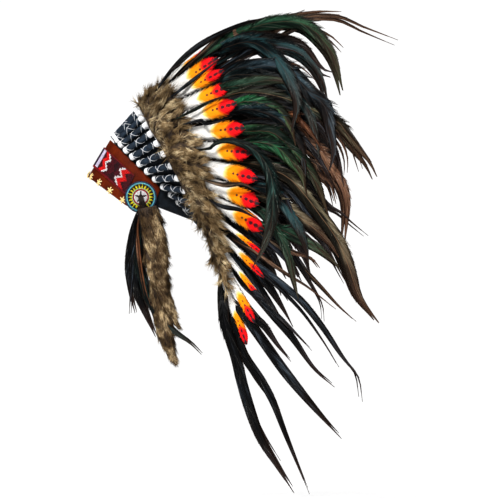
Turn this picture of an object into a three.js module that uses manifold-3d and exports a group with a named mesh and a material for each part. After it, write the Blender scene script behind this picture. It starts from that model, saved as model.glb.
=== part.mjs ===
// Feathered headdress in its worn shape. Millimetres, +Z up.
// The wearer looks along -Y and has the left side at +X. The origin lies in the middle of the head opening.
import * as THREE from 'three';
import Module from 'manifold-3d';
import { mergeVertices } from 'three/addons/utils/BufferGeometryUtils.js';

const wasm = await Module();
wasm.setup();

// Head ring: an ellipse with a short front half and a long back half, tipped up at the brow
const HEAD_HALF_WIDTH = 77;
const HEAD_FRONT = 95;
const HEAD_BACK = 108;
const RING_TILT = 21;
const FRONT_LEAN = 0.26;
const SIDE_LEAN = 0.05;
const RING_STEP = 7.5;

// Cloth and clearance
const CLOTH = 2;
const GAP = 0.3;
const LAYER_GAP = 0.8;

// Heights on the ring, measured up the head from the ring's plane
const SEAT_HEIGHT = 8;
const SEAT_SLOPE = 0.42;
const BROW_FRONT_BOTTOM = -37;
const BROW_SIDE_BOTTOM = -62;
const BROW_TOP_DROP = 4;
const BROW_END = 105;
const BROW_FLARE = 7;
const CAP_FRONT_BOTTOM = -31;
const CAP_BACK_BOTTOM = -43;
const CROWN_HEIGHT = 44;
const CROWN_END_HEIGHT = 4;
const CROWN_FALL = 7;
const CROWN_BACK_STEP = 1;

// Beadwork on the brow
const PANEL_HEIGHT = 42;
const PANEL_THICKNESS = 2;
const PANEL_TOP_DROP = 17;
const PANEL_END = 75;
const ROSETTE_RADIUS = 30.5;
const ROSETTE_THICKNESS = 2.6;
const ROSETTE_DOME = 1.4;
const ROSETTE_LOW = 37;

// Wrapped quill tubes
const TUBE_RADIUS = 6.5;
const TUBE_WRAP = 0.5;
const TUBE_CAP = 10;
const TUBE_LENGTH = 76;
const TUBE_PITCH = 18.2;
const TUBE_LAST = 12;

// Painted plumes, one in each tube and two more below the last tube on each side
const PLUME_LENGTH = 176;
const PLUME_WIDTH = 35;
const PLUME_THICKNESS = 1.8;
const QUILL_WIDTH = 3;
const BEND_LENGTH = 60;
const PLUME_LAST = 14;
const TRAIL_PITCH = 24;
const TRAIL_FALL = -60;
const TRAIL_FLARE = 12;
const TRAIL_LIFT = 9;
const TRAIL_CORD = 5;

// Fur roll over the tubes' ends
const FUR_START = 69;
const FUR_LENGTH = 82;
const FUR_HEIGHT = 21;
const LOCK_LENGTH = 62;
const LOCK_WIDTH = 20;

// Long cock feathers behind the plumes
const COCK_LENGTH = 520;
const COCK_WIDTH = 38;
const COCK_THICKNESS = 1.8;
const LACING_START = 81;
const LACING_WIDTH = 18;
const LACING_THICKNESS = 5;
const LACING_DEPTH = 2.6;

// Side drops of fur and cock feathers
const DROP_LENGTH = 300;
const DROP_FUR_WIDTH = 40;
const DROP_FUR_THICKNESS = 20;
const KNOT_RADIUS = 7;
const TIE_WIDTH = 12;
const TIE_RISE = -78;
const TIE_REACH = 0.34;

// How the row turns: rise is the angle above level towards the back, flare the angle out to the side
const FAN = [
  { place: 0, tubeRise: 48, tubeFlare: 0, plumeRise: 38, plumeFlare: 0 },
  { place: 2, tubeRise: 41, tubeFlare: 18, plumeRise: 28, plumeFlare: 8 },
  { place: 4, tubeRise: 33, tubeFlare: 31, plumeRise: 16, plumeFlare: 16 },
  { place: 6, tubeRise: 22, tubeFlare: 39, plumeRise: -5, plumeFlare: 20 },
  { place: 8, tubeRise: 2, tubeFlare: 48, plumeRise: -22, plumeFlare: 21 },
  { place: 10, tubeRise: -24, tubeFlare: 46, plumeRise: -38, plumeFlare: 20 },
  { place: 12, tubeRise: -48, tubeFlare: 38, plumeRise: -52, plumeFlare: 16 },
  { place: 14, tubeRise: -62, tubeFlare: 28, plumeRise: -70, plumeFlare: 10 },
];

// Long feathers of one side: the place in the row, the rise and flare at the root, the turn down to the tip,
// and the length and width as shares
const COCK_FEATHERS = [
  { place: 0, rise: 37, turn: 26, flare: 0, reach: 0.76, broad: 0.7 },
  { place: 0.5, rise: 36, turn: 40, flare: 2, reach: 0.88, broad: 0.8 },
  { place: 1, rise: 31, turn: 50, flare: 3, reach: 1.04, broad: 0.7 },
  { place: 1.5, rise: 29, turn: 54, flare: 4, reach: 0.84, broad: 0.9 },
  { place: 2, rise: 27, turn: 84, flare: 4, reach: 0.86, broad: 1 },
  { place: 2.5, rise: 25, turn: 110, flare: 5, reach: 0.72, broad: 1.1 },
  { place: 3, rise: 22, turn: 40, flare: 7, reach: 0.68, broad: 0.8 },
  { place: 3.5, rise: 18, turn: 76, flare: 8, reach: 0.94, broad: 0.9 },
  { place: 4, rise: 15, turn: 84, flare: 9, reach: 0.88, broad: 1 },
  { place: 4.5, rise: 12, turn: 70, flare: 10, reach: 0.78, broad: 0.9 },
  { place: 5, rise: 8, turn: 52, flare: 11, reach: 0.7, broad: 0.9 },
  { place: 5.5, rise: 2, turn: 66, flare: 12, reach: 0.92, broad: 1 },
  { place: 6, rise: -4, turn: 56, flare: 13, reach: 0.8, broad: 0.9 },
  { place: 6.5, rise: -14, turn: 56, flare: 12, reach: 1.05, broad: 0.8 },
  { place: 7, rise: -16, turn: 46, flare: 13, reach: 0.78, broad: 1 },
  { place: 7.5, rise: -21, turn: 38, flare: 13, reach: 0.7, broad: 0.9 },
  { place: 8, rise: -25, turn: 36, flare: 13, reach: 0.88, broad: 0.8 },
  { place: 9, rise: -27, turn: 30, flare: 13, reach: 0.74, broad: 0.9 },
  { place: 9.5, rise: -32, turn: 36, flare: 12, reach: 0.6, broad: 0.8 },
  { place: 10, rise: -43, turn: 16, flare: 10, reach: 0.98, broad: 0.7 },
  { place: 11, rise: -47, turn: 8, flare: 7, reach: 0.66, broad: 0.6 },
  { place: 11.5, rise: -50, turn: 6, flare: 5, reach: 0.8, broad: 0.7 },
  { place: 12, rise: -54, turn: 8, flare: 5, reach: 0.92, broad: 0.7 },
  { place: 12.5, rise: -73, turn: -12, flare: -3, reach: 1, broad: 0.6 },
  { place: 13, rise: -80, turn: -22, flare: -5, reach: 0.96, broad: 0.8 },
  { place: 13.5, rise: -76, turn: -16, flare: -9, reach: 0.82, broad: 0.7 },
  { place: 14, rise: -68, turn: -10, flare: -8, reach: 0.62, broad: 0.7 },
];
const TURN_EASE = 1.6;

// Strips of a side drop, in shares of its length: where it leaves the tie, the rise at the top, the turn down
// to the tip, the length and width, and how far out from the tie it hangs
const DROP_STRIPS = [
  { kind: 'fur', start: 0.06, rise: -73, turn: 12, reach: 0.72, broad: 1, out: 10 },
  { kind: 'fur', start: 0.26, rise: -84, turn: -8, reach: 0.72, broad: 0.8, out: 1 },
  { kind: 'feather', start: 0.1, rise: -114, turn: -52, reach: 0.78, broad: 0.6, out: -0.8 },
  { kind: 'feather', start: 0.2, rise: -102, turn: -8, reach: 0.5, broad: 0.4, out: -0.8 },
  { kind: 'feather', start: 0.24, rise: -84, turn: -40, reach: 0.78, broad: 0.6, out: -0.8 },
];

const COLOURS = {
  leather: 0x5e2413,
  black: 0x14171c,
  bead: 0x4a0b18,
  rosette: 0x4f9fb0,
  tube: 0x2a3036,
  plume: 0xe9902f,
  fur: 0x6f5b42,
  cock: 0x0f1a18,
};

const radians = THREE.MathUtils.degToRad;
const vector = (x, y, z) => new THREE.Vector3(x, y, z);
const mix = (a, b, share) => a + (b - a) * share;
const clamp = THREE.MathUtils.clamp;

// A direction from its rise above level and its flare to the side
function heading(rise, flare) {
  const level = Math.cos(radians(flare));
  return vector(Math.sin(radians(flare)), level * Math.cos(radians(rise)), level * Math.sin(radians(rise)));
}

// Ring coordinates to the part's frame: the brow end is tipped up
function tip(point) {
  return point.applyAxisAngle(vector(1, 0, 0), -radians(RING_TILT));
}

// A point on the head wall: angle from the brow round to the left, height up the head, distance out from it
function wallPoint(angle, height, out) {
  const front = Math.cos(radians(angle));
  const side = Math.sin(radians(angle));
  const lean = mix(SIDE_LEAN, FRONT_LEAN, Math.max(0, front));
  const halfWidth = HEAD_HALF_WIDTH - SIDE_LEAN * height;
  const depth = (front > 0 ? HEAD_FRONT : HEAD_BACK) - lean * height;
  const normal = vector(depth * side, -halfWidth * front, 0).normalize();
  return tip(vector(halfWidth * side, -depth * front, height).addScaledVector(normal, out));
}

function seatHeight(angle) {
  const front = Math.cos(radians(angle));
  return SEAT_HEIGHT + SEAT_SLOPE * front * (front > 0 ? HEAD_FRONT : HEAD_BACK);
}

function browBottom(angle) {
  const front = Math.cos(radians(angle));
  return mix(BROW_SIDE_BOTTOM, BROW_FRONT_BOTTOM, Math.max(0, (front - 0.2) / 0.8));
}

function capBottom(angle) {
  return mix(CAP_BACK_BOTTOM, CAP_FRONT_BOTTOM, Math.max(0, Math.cos(radians(angle))));
}

// The angle on the ring at an arc length from the brow, walked in short steps
function angleAtArc(length) {
  const step = 0.25;
  let angle = 0;
  for (let walked = 0; walked < length; angle += step) {
    const [front, side] = [Math.cos(radians(angle)), Math.sin(radians(angle))];
    const depth = front > 0 ? HEAD_FRONT : HEAD_BACK;
    walked += radians(step) * Math.hypot(HEAD_HALF_WIDTH * front, depth * side);
  }
  return angle;
}

// A column of the fan table at any place in the row
function fanValue(place, column) {
  const next = Math.max(1, FAN.findIndex((row) => row.place >= place));
  const [a, b] = [FAN[next - 1], FAN[next]];
  return mix(a[column], b[column], (place - a.place) / (b.place - a.place));
}

// The foot of a tube's axis. Places past the last tube step down the trail behind it
function seat(place) {
  const angle = angleAtArc(Math.min(place, TUBE_LAST) * TUBE_PITCH);
  const foot = wallPoint(angle, seatHeight(angle), CLOTH + GAP + TUBE_RADIUS);
  const down = Math.max(0, place - TUBE_LAST) * TRAIL_PITCH;
  return foot.addScaledVector(heading(TRAIL_FALL, TRAIL_FLARE), down);
}

// The line of one place of the row, from its seat to a distance along it. It bends past the tube's end
function rowPoint(place, distance) {
  const step = 6;
  const tube = heading(fanValue(place, 'tubeRise'), fanValue(place, 'tubeFlare'));
  const plume = heading(fanValue(place, 'plumeRise'), fanValue(place, 'plumeFlare'));
  const point = seat(place);
  for (let walked = 0; walked < distance; walked += step) {
    const share = THREE.MathUtils.smoothstep(walked, TUBE_LENGTH, TUBE_LENGTH + BEND_LENGTH);
    const way = tube.clone().lerp(plume, share).normalize();
    point.addScaledVector(way, Math.min(step, distance - walked));
  }
  return point;
}

// Point, way along, across and out of the row's surface. On the trail, out turns to the side, because the row
// runs down there almost along its own plumes. A negative place is the right side's mirror image
function rowFrame(place, distance) {
  const low = Math.min(Math.abs(place), PLUME_LAST - 0.25);
  const point = rowPoint(Math.abs(place), distance);
  const along = rowPoint(low, distance + 4).sub(rowPoint(low, Math.max(0, distance - 4))).normalize();
  const across = rowPoint(low + 0.25, distance);
  if (low < 0.25) {
    across.sub(mirrored(rowPoint(0.25, distance)));
  } else {
    across.sub(rowPoint(low - 0.25, distance));
  }
  const level = vector(1, 0, 0).addScaledVector(along, -along.x).normalize();
  const trail = THREE.MathUtils.smoothstep(low, TUBE_LAST - 1.5, TUBE_LAST + 0.5);
  const out = across.cross(along).normalize().lerp(level, trail).normalize();
  const frame = { point, along, out, across: along.clone().cross(out) };
  if (place < 0) {
    Object.values(frame).forEach(mirrored);
  }
  return frame;
}

function mirrored(v) {
  v.x = -v.x;
  return v;
}

// A point of the row's section, so far along and out. On the trail, where plumes overlap, it stands off more
function rowAt(place, distance, out) {
  const frame = rowFrame(place, distance);
  const lift = TRAIL_LIFT * THREE.MathUtils.smoothstep(Math.abs(place), TUBE_LAST - 0.5, TUBE_LAST + 1);
  return frame.point.addScaledVector(frame.out, out + Math.sign(out) * lift);
}

// A closed body through sections of the same number of points, with flat ends or run round into a loop
function loft(sections, loop = false) {
  const size = sections[0].length;
  const points = sections.flat();
  const faces = [];
  const spans = loop ? sections.length : sections.length - 1;
  for (let i = 0; i < spans; i += 1) {
    for (let j = 0; j < size; j += 1) {
      const a = i * size + j;
      const b = i * size + ((j + 1) % size);
      const c = ((i + 1) % sections.length) * size + j;
      const d = ((i + 1) % sections.length) * size + ((j + 1) % size);
      faces.push(a, b, c, b, d, c);
    }
  }
  if (!loop) {
    const last = (sections.length - 1) * size;
    for (const [a, b, c] of THREE.ShapeUtils.triangulateShape(flatten(sections[0]), [])) {
      faces.push(c, b, a);
      faces.push(last + a, last + b, last + c);
    }
  }
  const geometry = new THREE.BufferGeometry();
  const coordinates = points.flatMap((p) => p.toArray());
  geometry.setAttribute('position', new THREE.Float32BufferAttribute(coordinates, 3));
  geometry.setIndex(volume(points, faces) > 0 ? faces : faces.reverse());
  return geometry;
}

// A section in its own plane, so that its end face can be cut into triangles
function flatten(section) {
  const u = section[1].clone().sub(section[0]).normalize();
  const normal = vector(0, 0, 0);
  for (let i = 1; i < section.length - 1; i += 1) {
    const a = section[i].clone().sub(section[0]);
    normal.add(a.cross(section[i + 1].clone().sub(section[0])));
  }
  const v = normal.normalize().cross(u);
  return section.map((p) => {
    const arm = p.clone().sub(section[0]);
    return new THREE.Vector2(arm.dot(u), arm.dot(v));
  });
}

function volume(points, faces) {
  let sum = 0;
  for (let i = 0; i < faces.length; i += 3) {
    sum += points[faces[i]].dot(points[faces[i + 1]].clone().cross(points[faces[i + 2]]));
  }
  return sum / 6;
}

// Joins closed bodies into one
function fuse(geometries) {
  const solids = geometries.map((geometry) => {
    const bare = geometry.clone();
    bare.deleteAttribute('normal');
    bare.deleteAttribute('uv');
    const merged = mergeVertices(bare, 1e-4);
    return new wasm.Manifold(new wasm.Mesh({
      numProp: 3,
      vertProperties: new Float32Array(merged.attributes.position.array),
      triVerts: new Uint32Array(merged.index.array),
    }));
  });
  const body = solids.reduce((sum, solid) => sum.add(solid)).simplify(0.06);
  const mesh = body.getMesh();
  const geometry = new THREE.BufferGeometry();
  geometry.setAttribute('position', new THREE.Float32BufferAttribute(mesh.vertProperties, 3));
  geometry.setIndex(new THREE.Uint32BufferAttribute(mesh.triVerts, 1));
  return geometry;
}

// A thin leaf with a four-cornered section along frames {point, across, out}, half widths and half heights
function leaf(frames) {
  return loft(frames.map(({ point, across, out, wide, thick }) => [
    point.clone().addScaledVector(across, wide),
    point.clone().addScaledVector(out, thick),
    point.clone().addScaledVector(across, -wide),
    point.clone().addScaledVector(out, -thick),
  ]));
}

const browTop = (angle) => seatHeight(angle) - BROW_TOP_DROP;

// How far the brow's wall stands off at a height. At the front it leans out to the tubes' feet
function browStandOff(angle, height) {
  const front = Math.max(0, Math.cos(radians(angle)));
  const share = (height - browBottom(angle)) / (browTop(angle) - browBottom(angle));
  return CLOTH + LAYER_GAP + BROW_FLARE * front * front * share;
}

// A wall on the brow between two angles, so far out from its back
function browWall(end, inner, thickness, bottom, top) {
  const sections = [];
  for (let angle = -end; angle <= end; angle += RING_STEP) {
    const [low, high] = [bottom(angle), top(angle)];
    const [lowOut, highOut] = [low, high].map((height) => browStandOff(angle, height) + inner);
    sections.push([
      wallPoint(angle, low, lowOut),
      wallPoint(angle, low, lowOut + thickness),
      wallPoint(angle, high, highOut + thickness),
      wallPoint(angle, high, highOut),
    ]);
  }
  return loft(sections);
}

function browBand() {
  return browWall(BROW_END, 0, CLOTH, browBottom, browTop);
}

function beadPanel() {
  const top = (angle) => browTop(angle) - PANEL_TOP_DROP;
  const bottom = (angle) => Math.max(top(angle) - PANEL_HEIGHT, browBottom(angle) + CLOTH);
  return browWall(PANEL_END, CLOTH + LAYER_GAP, PANEL_THICKNESS, bottom, top);
}

// A section of the cap band: up the wall to the row's foot, then along the inner side of the tubes
function capSection(angle, start, rise, out, height) {
  const foot = seatHeight(angle);
  const outer = start.clone().addScaledVector(out, -(TUBE_RADIUS + GAP));
  const inner = outer.clone().addScaledVector(out, -CLOTH);
  return [
    wallPoint(angle, capBottom(angle), 0),
    wallPoint(angle, capBottom(angle), CLOTH),
    wallPoint(angle, foot - CLOTH * Math.max(0, Math.cos(radians(angle))), CLOTH),
    outer,
    outer.clone().addScaledVector(rise, height),
    inner.clone().addScaledVector(rise, height),
    inner,
    wallPoint(angle, foot - CLOTH, 0),
  ];
}

// Black cap band: a wall round the whole head that turns out behind the tubes into a crown
function capBand() {
  const left = [];
  for (let place = 0; place < TUBE_LAST; place += 0.5) {
    const angle = angleAtArc(place * TUBE_PITCH);
    const rise = heading(fanValue(place, 'tubeRise'), fanValue(place, 'tubeFlare'));
    const fall = THREE.MathUtils.smoothstep(place, CROWN_FALL, TUBE_LAST - 1);
    const height = mix(CROWN_HEIGHT, CROWN_END_HEIGHT, fall);
    left.push(capSection(angle, seat(place), rise, rowFrame(place, 0).out, height));
  }
  const rowEnd = angleAtArc(TUBE_LAST * TUBE_PITCH);
  const backSpans = Math.ceil((180 - rowEnd) / RING_STEP);
  for (let i = 0; i <= backSpans; i += 1) {
    const angle = mix(rowEnd, 180, i / backSpans);
    const foot = seatHeight(angle) + CROWN_BACK_STEP;
    const start = wallPoint(angle, foot, CLOTH + GAP + TUBE_RADIUS);
    const out = start.clone().sub(wallPoint(angle, foot, 0)).normalize();
    left.push(capSection(angle, start, tip(vector(0, 0, 1)), out, CROWN_END_HEIGHT));
  }
  const mirror = (section) => section.map((point) => mirrored(point.clone()));
  const right = left.slice(1, -1).reverse().map(mirror);
  return loft([...left, ...right], true);
}

function quillTube() {
  const profile = [
    [0, 0], [TUBE_RADIUS, 0], [TUBE_RADIUS, TUBE_CAP], [TUBE_RADIUS - TUBE_WRAP, TUBE_LENGTH / 2],
    [TUBE_RADIUS, TUBE_LENGTH - TUBE_CAP], [TUBE_RADIUS, TUBE_LENGTH], [0, TUBE_LENGTH],
  ];
  return turned(profile, 8);
}

// A closed body of revolution round the Y axis, from its profile of radius and height
function turned(profile, sides) {
  const points = profile.map(([radius, height]) => new THREE.Vector2(radius, height));
  const lathe = new THREE.LatheGeometry(points, sides);
  lathe.deleteAttribute('uv');
  lathe.deleteAttribute('normal');
  const body = mergeVertices(lathe, 1e-3);
  const faces = [];
  for (let i = 0; i < body.index.count; i += 3) {
    const [a, b, c] = [0, 1, 2].map((corner) => body.index.getX(i + corner));
    if (a !== b && b !== c && c !== a) {
      faces.push(a, b, c);
    }
  }
  return body.setIndex(faces);
}

// A painted plume: bare quill in the tube's mouth and under the fur, then a vane with a rounded tip
function plume(place) {
  const stations = [
    { share: 0, broad: 0, thick: 0.7 },
    { share: 0.12, broad: 0.02, thick: 0.7 },
    { share: 0.24, broad: 0.04, thick: 0.7 },
    { share: 0.42, broad: 0.72, thick: 0.6 },
    { share: 0.66, broad: 1, thick: 0.5 },
    { share: 0.86, broad: 0.96, thick: 0.5 },
    { share: 0.96, broad: 0.66, thick: 0.5 },
    { share: 1, broad: 0.3, thick: 0.4 },
  ];
  return leaf(stations.map(({ share, broad, thick }) => {
    const frame = rowFrame(place, TUBE_LENGTH + GAP + share * PLUME_LENGTH);
    return { ...frame, wide: mix(QUILL_WIDTH, PLUME_WIDTH, broad) / 2, thick: thick * PLUME_THICKNESS };
  }));
}

const FUR_SECTION = [
  { along: 0.24, out: 0.16 },
  { along: 0.18, out: 0.34 },
  { along: 0, out: 0.44 },
  { along: 0.08, out: 0.8 },
  { along: 0.42, out: 1 },
  { along: 0.8, out: 0.72 },
  { along: 1, out: 0.42 },
  { along: 0.8, out: 0.26 },
];

// The roll of fur: a lumpy body over the row with hanging locks
function furBand() {
  const sections = [];
  for (let place = -PLUME_LAST; place <= PLUME_LAST; place += 1) {
    const swell = 1 + 0.12 * Math.sin(place * 2.1);
    sections.push(FUR_SECTION.map(({ along, out }) => (
      rowAt(place, FUR_START + along * FUR_LENGTH, out * FUR_HEIGHT * (out > 0.5 ? swell : 1)))));
  }
  const locks = [];
  for (let place = -PLUME_LAST; place < PLUME_LAST; place += 1) {
    locks.push(furLock(place + 0.5, 0.36 + 0.1 * Math.cos(place * 2.6)));
  }
  return fuse([loft(sections), ...locks]);
}

// One lock: it leaves the roll, stands off and comes down to a blunt point past the roll's edge
function furLock(place, start) {
  const shape = [
    { share: 0, out: 0.55, broad: 0.5, thick: 3 },
    { share: 0.4, out: 0.98, broad: 1, thick: 5 },
    { share: 0.75, out: 0.86, broad: 0.7, thick: 4 },
    { share: 1, out: 0.52, broad: 0.16, thick: 1.2 },
  ];
  return leaf(shape.map(({ share, out, broad, thick }) => {
    const distance = FUR_START + start * FUR_LENGTH + share * LOCK_LENGTH;
    const frame = rowFrame(place, distance);
    return { ...frame, point: rowAt(place, distance, out * FUR_HEIGHT), wide: broad * LOCK_WIDTH / 2, thick };
  }));
}

// A long feather from its root. It leaves at its rise and turns more and more towards the tip
function longFeather({ root, rise, turn, flare, length, width, steps }) {
  const sections = [];
  const point = root.clone();
  for (let i = 0; i <= steps; i += 1) {
    const share = i / steps;
    const along = heading(rise - turn * share ** TURN_EASE, flare);
    const across = along.clone().cross(vector(1, 0, 0)).normalize();
    const out = across.clone().cross(along);
    const broad = clamp(2.6 * share + 0.12, 0, 1) * clamp(2.4 * (1 - share) + 0.06, 0, 1);
    sections.push([
      point.clone().addScaledVector(across, width * broad / 2),
      point.clone().addScaledVector(out, COCK_THICKNESS),
      point.clone().addScaledVector(across, -width * broad / 2),
    ]);
    const middle = heading(rise - turn * (share + 0.5 / steps) ** TURN_EASE, flare);
    point.addScaledVector(middle, length / steps);
  }
  return loft(sections);
}

// The fan of long feathers, both sides, sewn to one lacing behind the plumes
function cockFan() {
  const sections = [];
  for (let place = -PLUME_LAST; place <= PLUME_LAST; place += 1) {
    const [near, far] = [-LACING_DEPTH, -LACING_DEPTH - LACING_THICKNESS];
    sections.push([
      rowAt(place, LACING_START, near),
      rowAt(place, LACING_START + LACING_WIDTH, near),
      rowAt(place, LACING_START + LACING_WIDTH, far),
      rowAt(place, LACING_START, far),
    ]);
  }
  const feathers = COCK_FEATHERS.flatMap(({ place, rise, turn, flare, reach, broad }) => {
    const root = rowAt(place, LACING_START + LACING_WIDTH / 2, -LACING_DEPTH - LACING_THICKNESS / 2);
    const feather = longFeather({
      root, rise, turn, flare, length: reach * COCK_LENGTH, width: broad * COCK_WIDTH, steps: 6,
    });
    return place > 0 ? [feather, flipped(feather)] : [feather];
  });
  return fuse([loft(sections), ...feathers]);
}

// Where the rosette's back touches the brow band, at the temple
function rosetteSeat() {
  const outer = 2 * CLOTH + LAYER_GAP;
  const low = wallPoint(90, BROW_SIDE_BOTTOM, outer);
  return wallPoint(90, -ROSETTE_LOW, outer).setX(low.x + GAP);
}

function rosette() {
  const [r, t] = [ROSETTE_RADIUS, ROSETTE_THICKNESS];
  return turned([[0, 0], [r, 0], [r, t * 0.6], [r * 0.92, t], [0, t + ROSETTE_DOME]], 20);
}

// One side drop: strips of fur and feathers on a tie that hangs from a knot at the rosette's middle
function sideDrop() {
  const face = ROSETTE_THICKNESS + ROSETTE_DOME + GAP;
  const middle = rosetteSeat().add(vector(face + KNOT_RADIUS, 0, 0));
  const knot = new THREE.SphereGeometry(KNOT_RADIUS, 8, 6).translate(...middle.toArray());
  const reach = DROP_LENGTH * TIE_REACH;
  const tie = longFeather({
    root: middle, rise: TIE_RISE, turn: 0, flare: 0, length: reach, width: TIE_WIDTH, steps: 2,
  });
  const strips = DROP_STRIPS.map(({ kind, start, rise, turn, reach, broad, out }) => {
    const root = middle.clone().addScaledVector(heading(TIE_RISE, 0), start * DROP_LENGTH);
    if (kind === 'fur') {
      return furStrip({ root, out, rise, turn, length: reach * DROP_LENGTH, width: broad * DROP_FUR_WIDTH });
    }
    const [length, width] = [reach * DROP_LENGTH, broad * COCK_WIDTH];
    return longFeather({ root: root.setX(root.x + out), rise, turn, flare: 0, length, width, steps: 5 });
  });
  return fuse([knot, tie, ...strips]);
}

// A padded strip of fur that hangs from its root
function furStrip({ root, out, rise, turn, length, width }) {
  const sections = [];
  const point = root.clone();
  const steps = 5;
  for (let i = 0; i <= steps; i += 1) {
    const share = i / steps;
    const along = heading(rise - turn * share, 0);
    const across = along.clone().cross(vector(1, 0, 0)).normalize();
    const full = Math.sqrt(clamp(1 - (1.9 * share - 0.95) ** 2, 0.12, 1));
    const middle = point.clone().setX(point.x + out * full);
    sections.push([0, 60, 120, 180, 240, 300].map((corner) => middle.clone()
      .addScaledVector(across, Math.cos(radians(corner)) * full * width / 2)
      .setX(middle.x + Math.sin(radians(corner)) * full * DROP_FUR_THICKNESS / 2)));
    point.addScaledVector(along, length / steps);
  }
  return loft(sections);
}

const headdress = new THREE.Group();

function material(colour, roughness, metalness = 0) {
  return new THREE.MeshStandardMaterial({ color: colour, roughness, metalness });
}

const materials = {
  leather: material(COLOURS.leather, 0.8),
  black: material(COLOURS.black, 0.85),
  bead: material(COLOURS.bead, 0.35),
  rosette: material(COLOURS.rosette, 0.35),
  tube: material(COLOURS.tube, 0.7),
  plume: material(COLOURS.plume, 0.75),
  fur: material(COLOURS.fur, 0.95),
  cock: material(COLOURS.cock, 0.4, 0.1),
};

function addMesh(name, geometry, slot, parent = headdress) {
  const mesh = new THREE.Mesh(geometry, materials[slot]);
  mesh.name = name;
  parent.add(mesh);
  return mesh;
}

// Names of the row's places run round from the wearer's right to the left
function placeName(prefix, place, last) {
  return `${prefix}_${String(place + last + 1).padStart(2, '0')}`;
}

function flipped(geometry) {
  const copy = geometry.clone().scale(-1, 1, 1);
  copy.setIndex([...copy.index.array].reverse());
  return copy;
}

addMesh('brow_band', browBand(), 'leather');
addMesh('bead_panel', beadPanel(), 'bead');
addMesh('cap_band', capBand(), 'black');

for (let place = -TUBE_LAST; place <= TUBE_LAST; place += 1) {
  const rise = fanValue(Math.abs(place), 'tubeRise');
  const flare = fanValue(Math.abs(place), 'tubeFlare') * Math.sign(place);
  const foot = seat(Math.abs(place));
  const tube = addMesh(placeName('quill_tube', place, TUBE_LAST), quillTube(), 'tube');
  tube.position.copy(place < 0 ? mirrored(foot) : foot);
  tube.quaternion.setFromUnitVectors(vector(0, 1, 0), heading(rise, flare));
}

for (let place = 1 - TUBE_LAST; place < TUBE_LAST; place += 1) {
  addMesh(placeName('plume', place, TUBE_LAST - 1), plume(place), 'plume');
}

// The last three plumes of a side share a cord under the fur
function trailPlumes() {
  const sections = [];
  for (let place = TUBE_LAST; place <= PLUME_LAST; place += 1) {
    const frame = rowFrame(place, TUBE_LENGTH + TRAIL_CORD);
    sections.push([[-1, 1], [1, 1], [1, -1], [-1, -1]].map(([along, out]) => frame.point.clone()
      .addScaledVector(frame.along, along * TRAIL_CORD / 2)
      .addScaledVector(frame.out, out * TRAIL_CORD / 4)));
  }
  const plumes = [];
  for (let place = TUBE_LAST; place <= PLUME_LAST; place += 1) {
    plumes.push(plume(place));
  }
  return fuse([loft(sections), ...plumes]);
}

const trail = trailPlumes();
addMesh('trail_plumes_left', trail, 'plume');
addMesh('trail_plumes_right', flipped(trail), 'plume');
addMesh('fur_band', furBand(), 'fur');
addMesh('cock_fan', cockFan(), 'cock');

const drop = sideDrop();
for (const [side, sign] of [['left', 1], ['right', -1]]) {
  const disc = addMesh(`rosette_${side}`, rosette(), 'rosette');
  const place = rosetteSeat();
  disc.position.set(place.x * sign, place.y, place.z);
  disc.rotation.z = -sign * Math.PI / 2;
  addMesh(`drop_${side}`, sign > 0 ? drop : flipped(drop), 'fur');
}

export default headdress;
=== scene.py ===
# Feathered headdress, dressed over its CAD frame. +Z up, the wearer looks along -Y, the wearer's left is +X.
# Shapes are worked out in millimetres and scaled to metres when a mesh is made.
import math

import bpy
import numpy as np
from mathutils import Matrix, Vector


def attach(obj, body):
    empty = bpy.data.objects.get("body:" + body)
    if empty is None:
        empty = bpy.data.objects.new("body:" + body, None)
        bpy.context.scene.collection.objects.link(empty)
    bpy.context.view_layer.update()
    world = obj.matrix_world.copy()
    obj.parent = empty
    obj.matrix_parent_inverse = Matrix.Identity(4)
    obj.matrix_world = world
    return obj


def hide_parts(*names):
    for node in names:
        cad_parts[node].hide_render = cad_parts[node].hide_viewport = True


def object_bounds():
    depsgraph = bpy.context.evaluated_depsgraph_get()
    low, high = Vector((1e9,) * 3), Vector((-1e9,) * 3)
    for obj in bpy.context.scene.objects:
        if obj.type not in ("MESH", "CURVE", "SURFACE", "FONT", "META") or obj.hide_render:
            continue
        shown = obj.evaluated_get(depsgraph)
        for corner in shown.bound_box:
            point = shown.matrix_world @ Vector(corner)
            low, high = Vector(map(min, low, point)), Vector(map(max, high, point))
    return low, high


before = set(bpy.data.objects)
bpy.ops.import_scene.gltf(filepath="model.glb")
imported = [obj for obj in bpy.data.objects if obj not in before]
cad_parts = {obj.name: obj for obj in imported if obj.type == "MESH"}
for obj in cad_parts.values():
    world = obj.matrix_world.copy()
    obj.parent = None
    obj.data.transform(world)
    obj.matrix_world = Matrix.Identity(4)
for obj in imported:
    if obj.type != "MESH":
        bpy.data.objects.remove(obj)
cad_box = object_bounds()
rng = np.random.default_rng(41)

MM = 0.001

# Head ring and row, as in the part's source
HEAD_HALF_WIDTH, HEAD_FRONT, HEAD_BACK = 77, 95, 108
RING_TILT = 21
FRONT_LEAN, SIDE_LEAN = 0.26, 0.05
CLOTH, GAP, LAYER_GAP = 2, 0.3, 0.8
SEAT_HEIGHT, SEAT_SLOPE = 8, 0.42
BROW_FRONT_BOTTOM, BROW_SIDE_BOTTOM, BROW_TOP_DROP, BROW_END, BROW_FLARE = -37, -62, 4, 105, 7
CAP_FRONT_BOTTOM, CAP_BACK_BOTTOM = -31, -43
CROWN_END_HEIGHT, CROWN_BACK_STEP = 4, 1
PANEL_HEIGHT, PANEL_TOP_DROP, PANEL_END = 42, 17, 75
ROSETTE_RADIUS, ROSETTE_THICKNESS, ROSETTE_DOME, ROSETTE_LOW = 30.5, 2.6, 1.4, 37
TUBE_RADIUS, TUBE_CAP, TUBE_LENGTH, TUBE_PITCH, TUBE_LAST = 6.5, 10, 76, 18.2, 12
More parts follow.
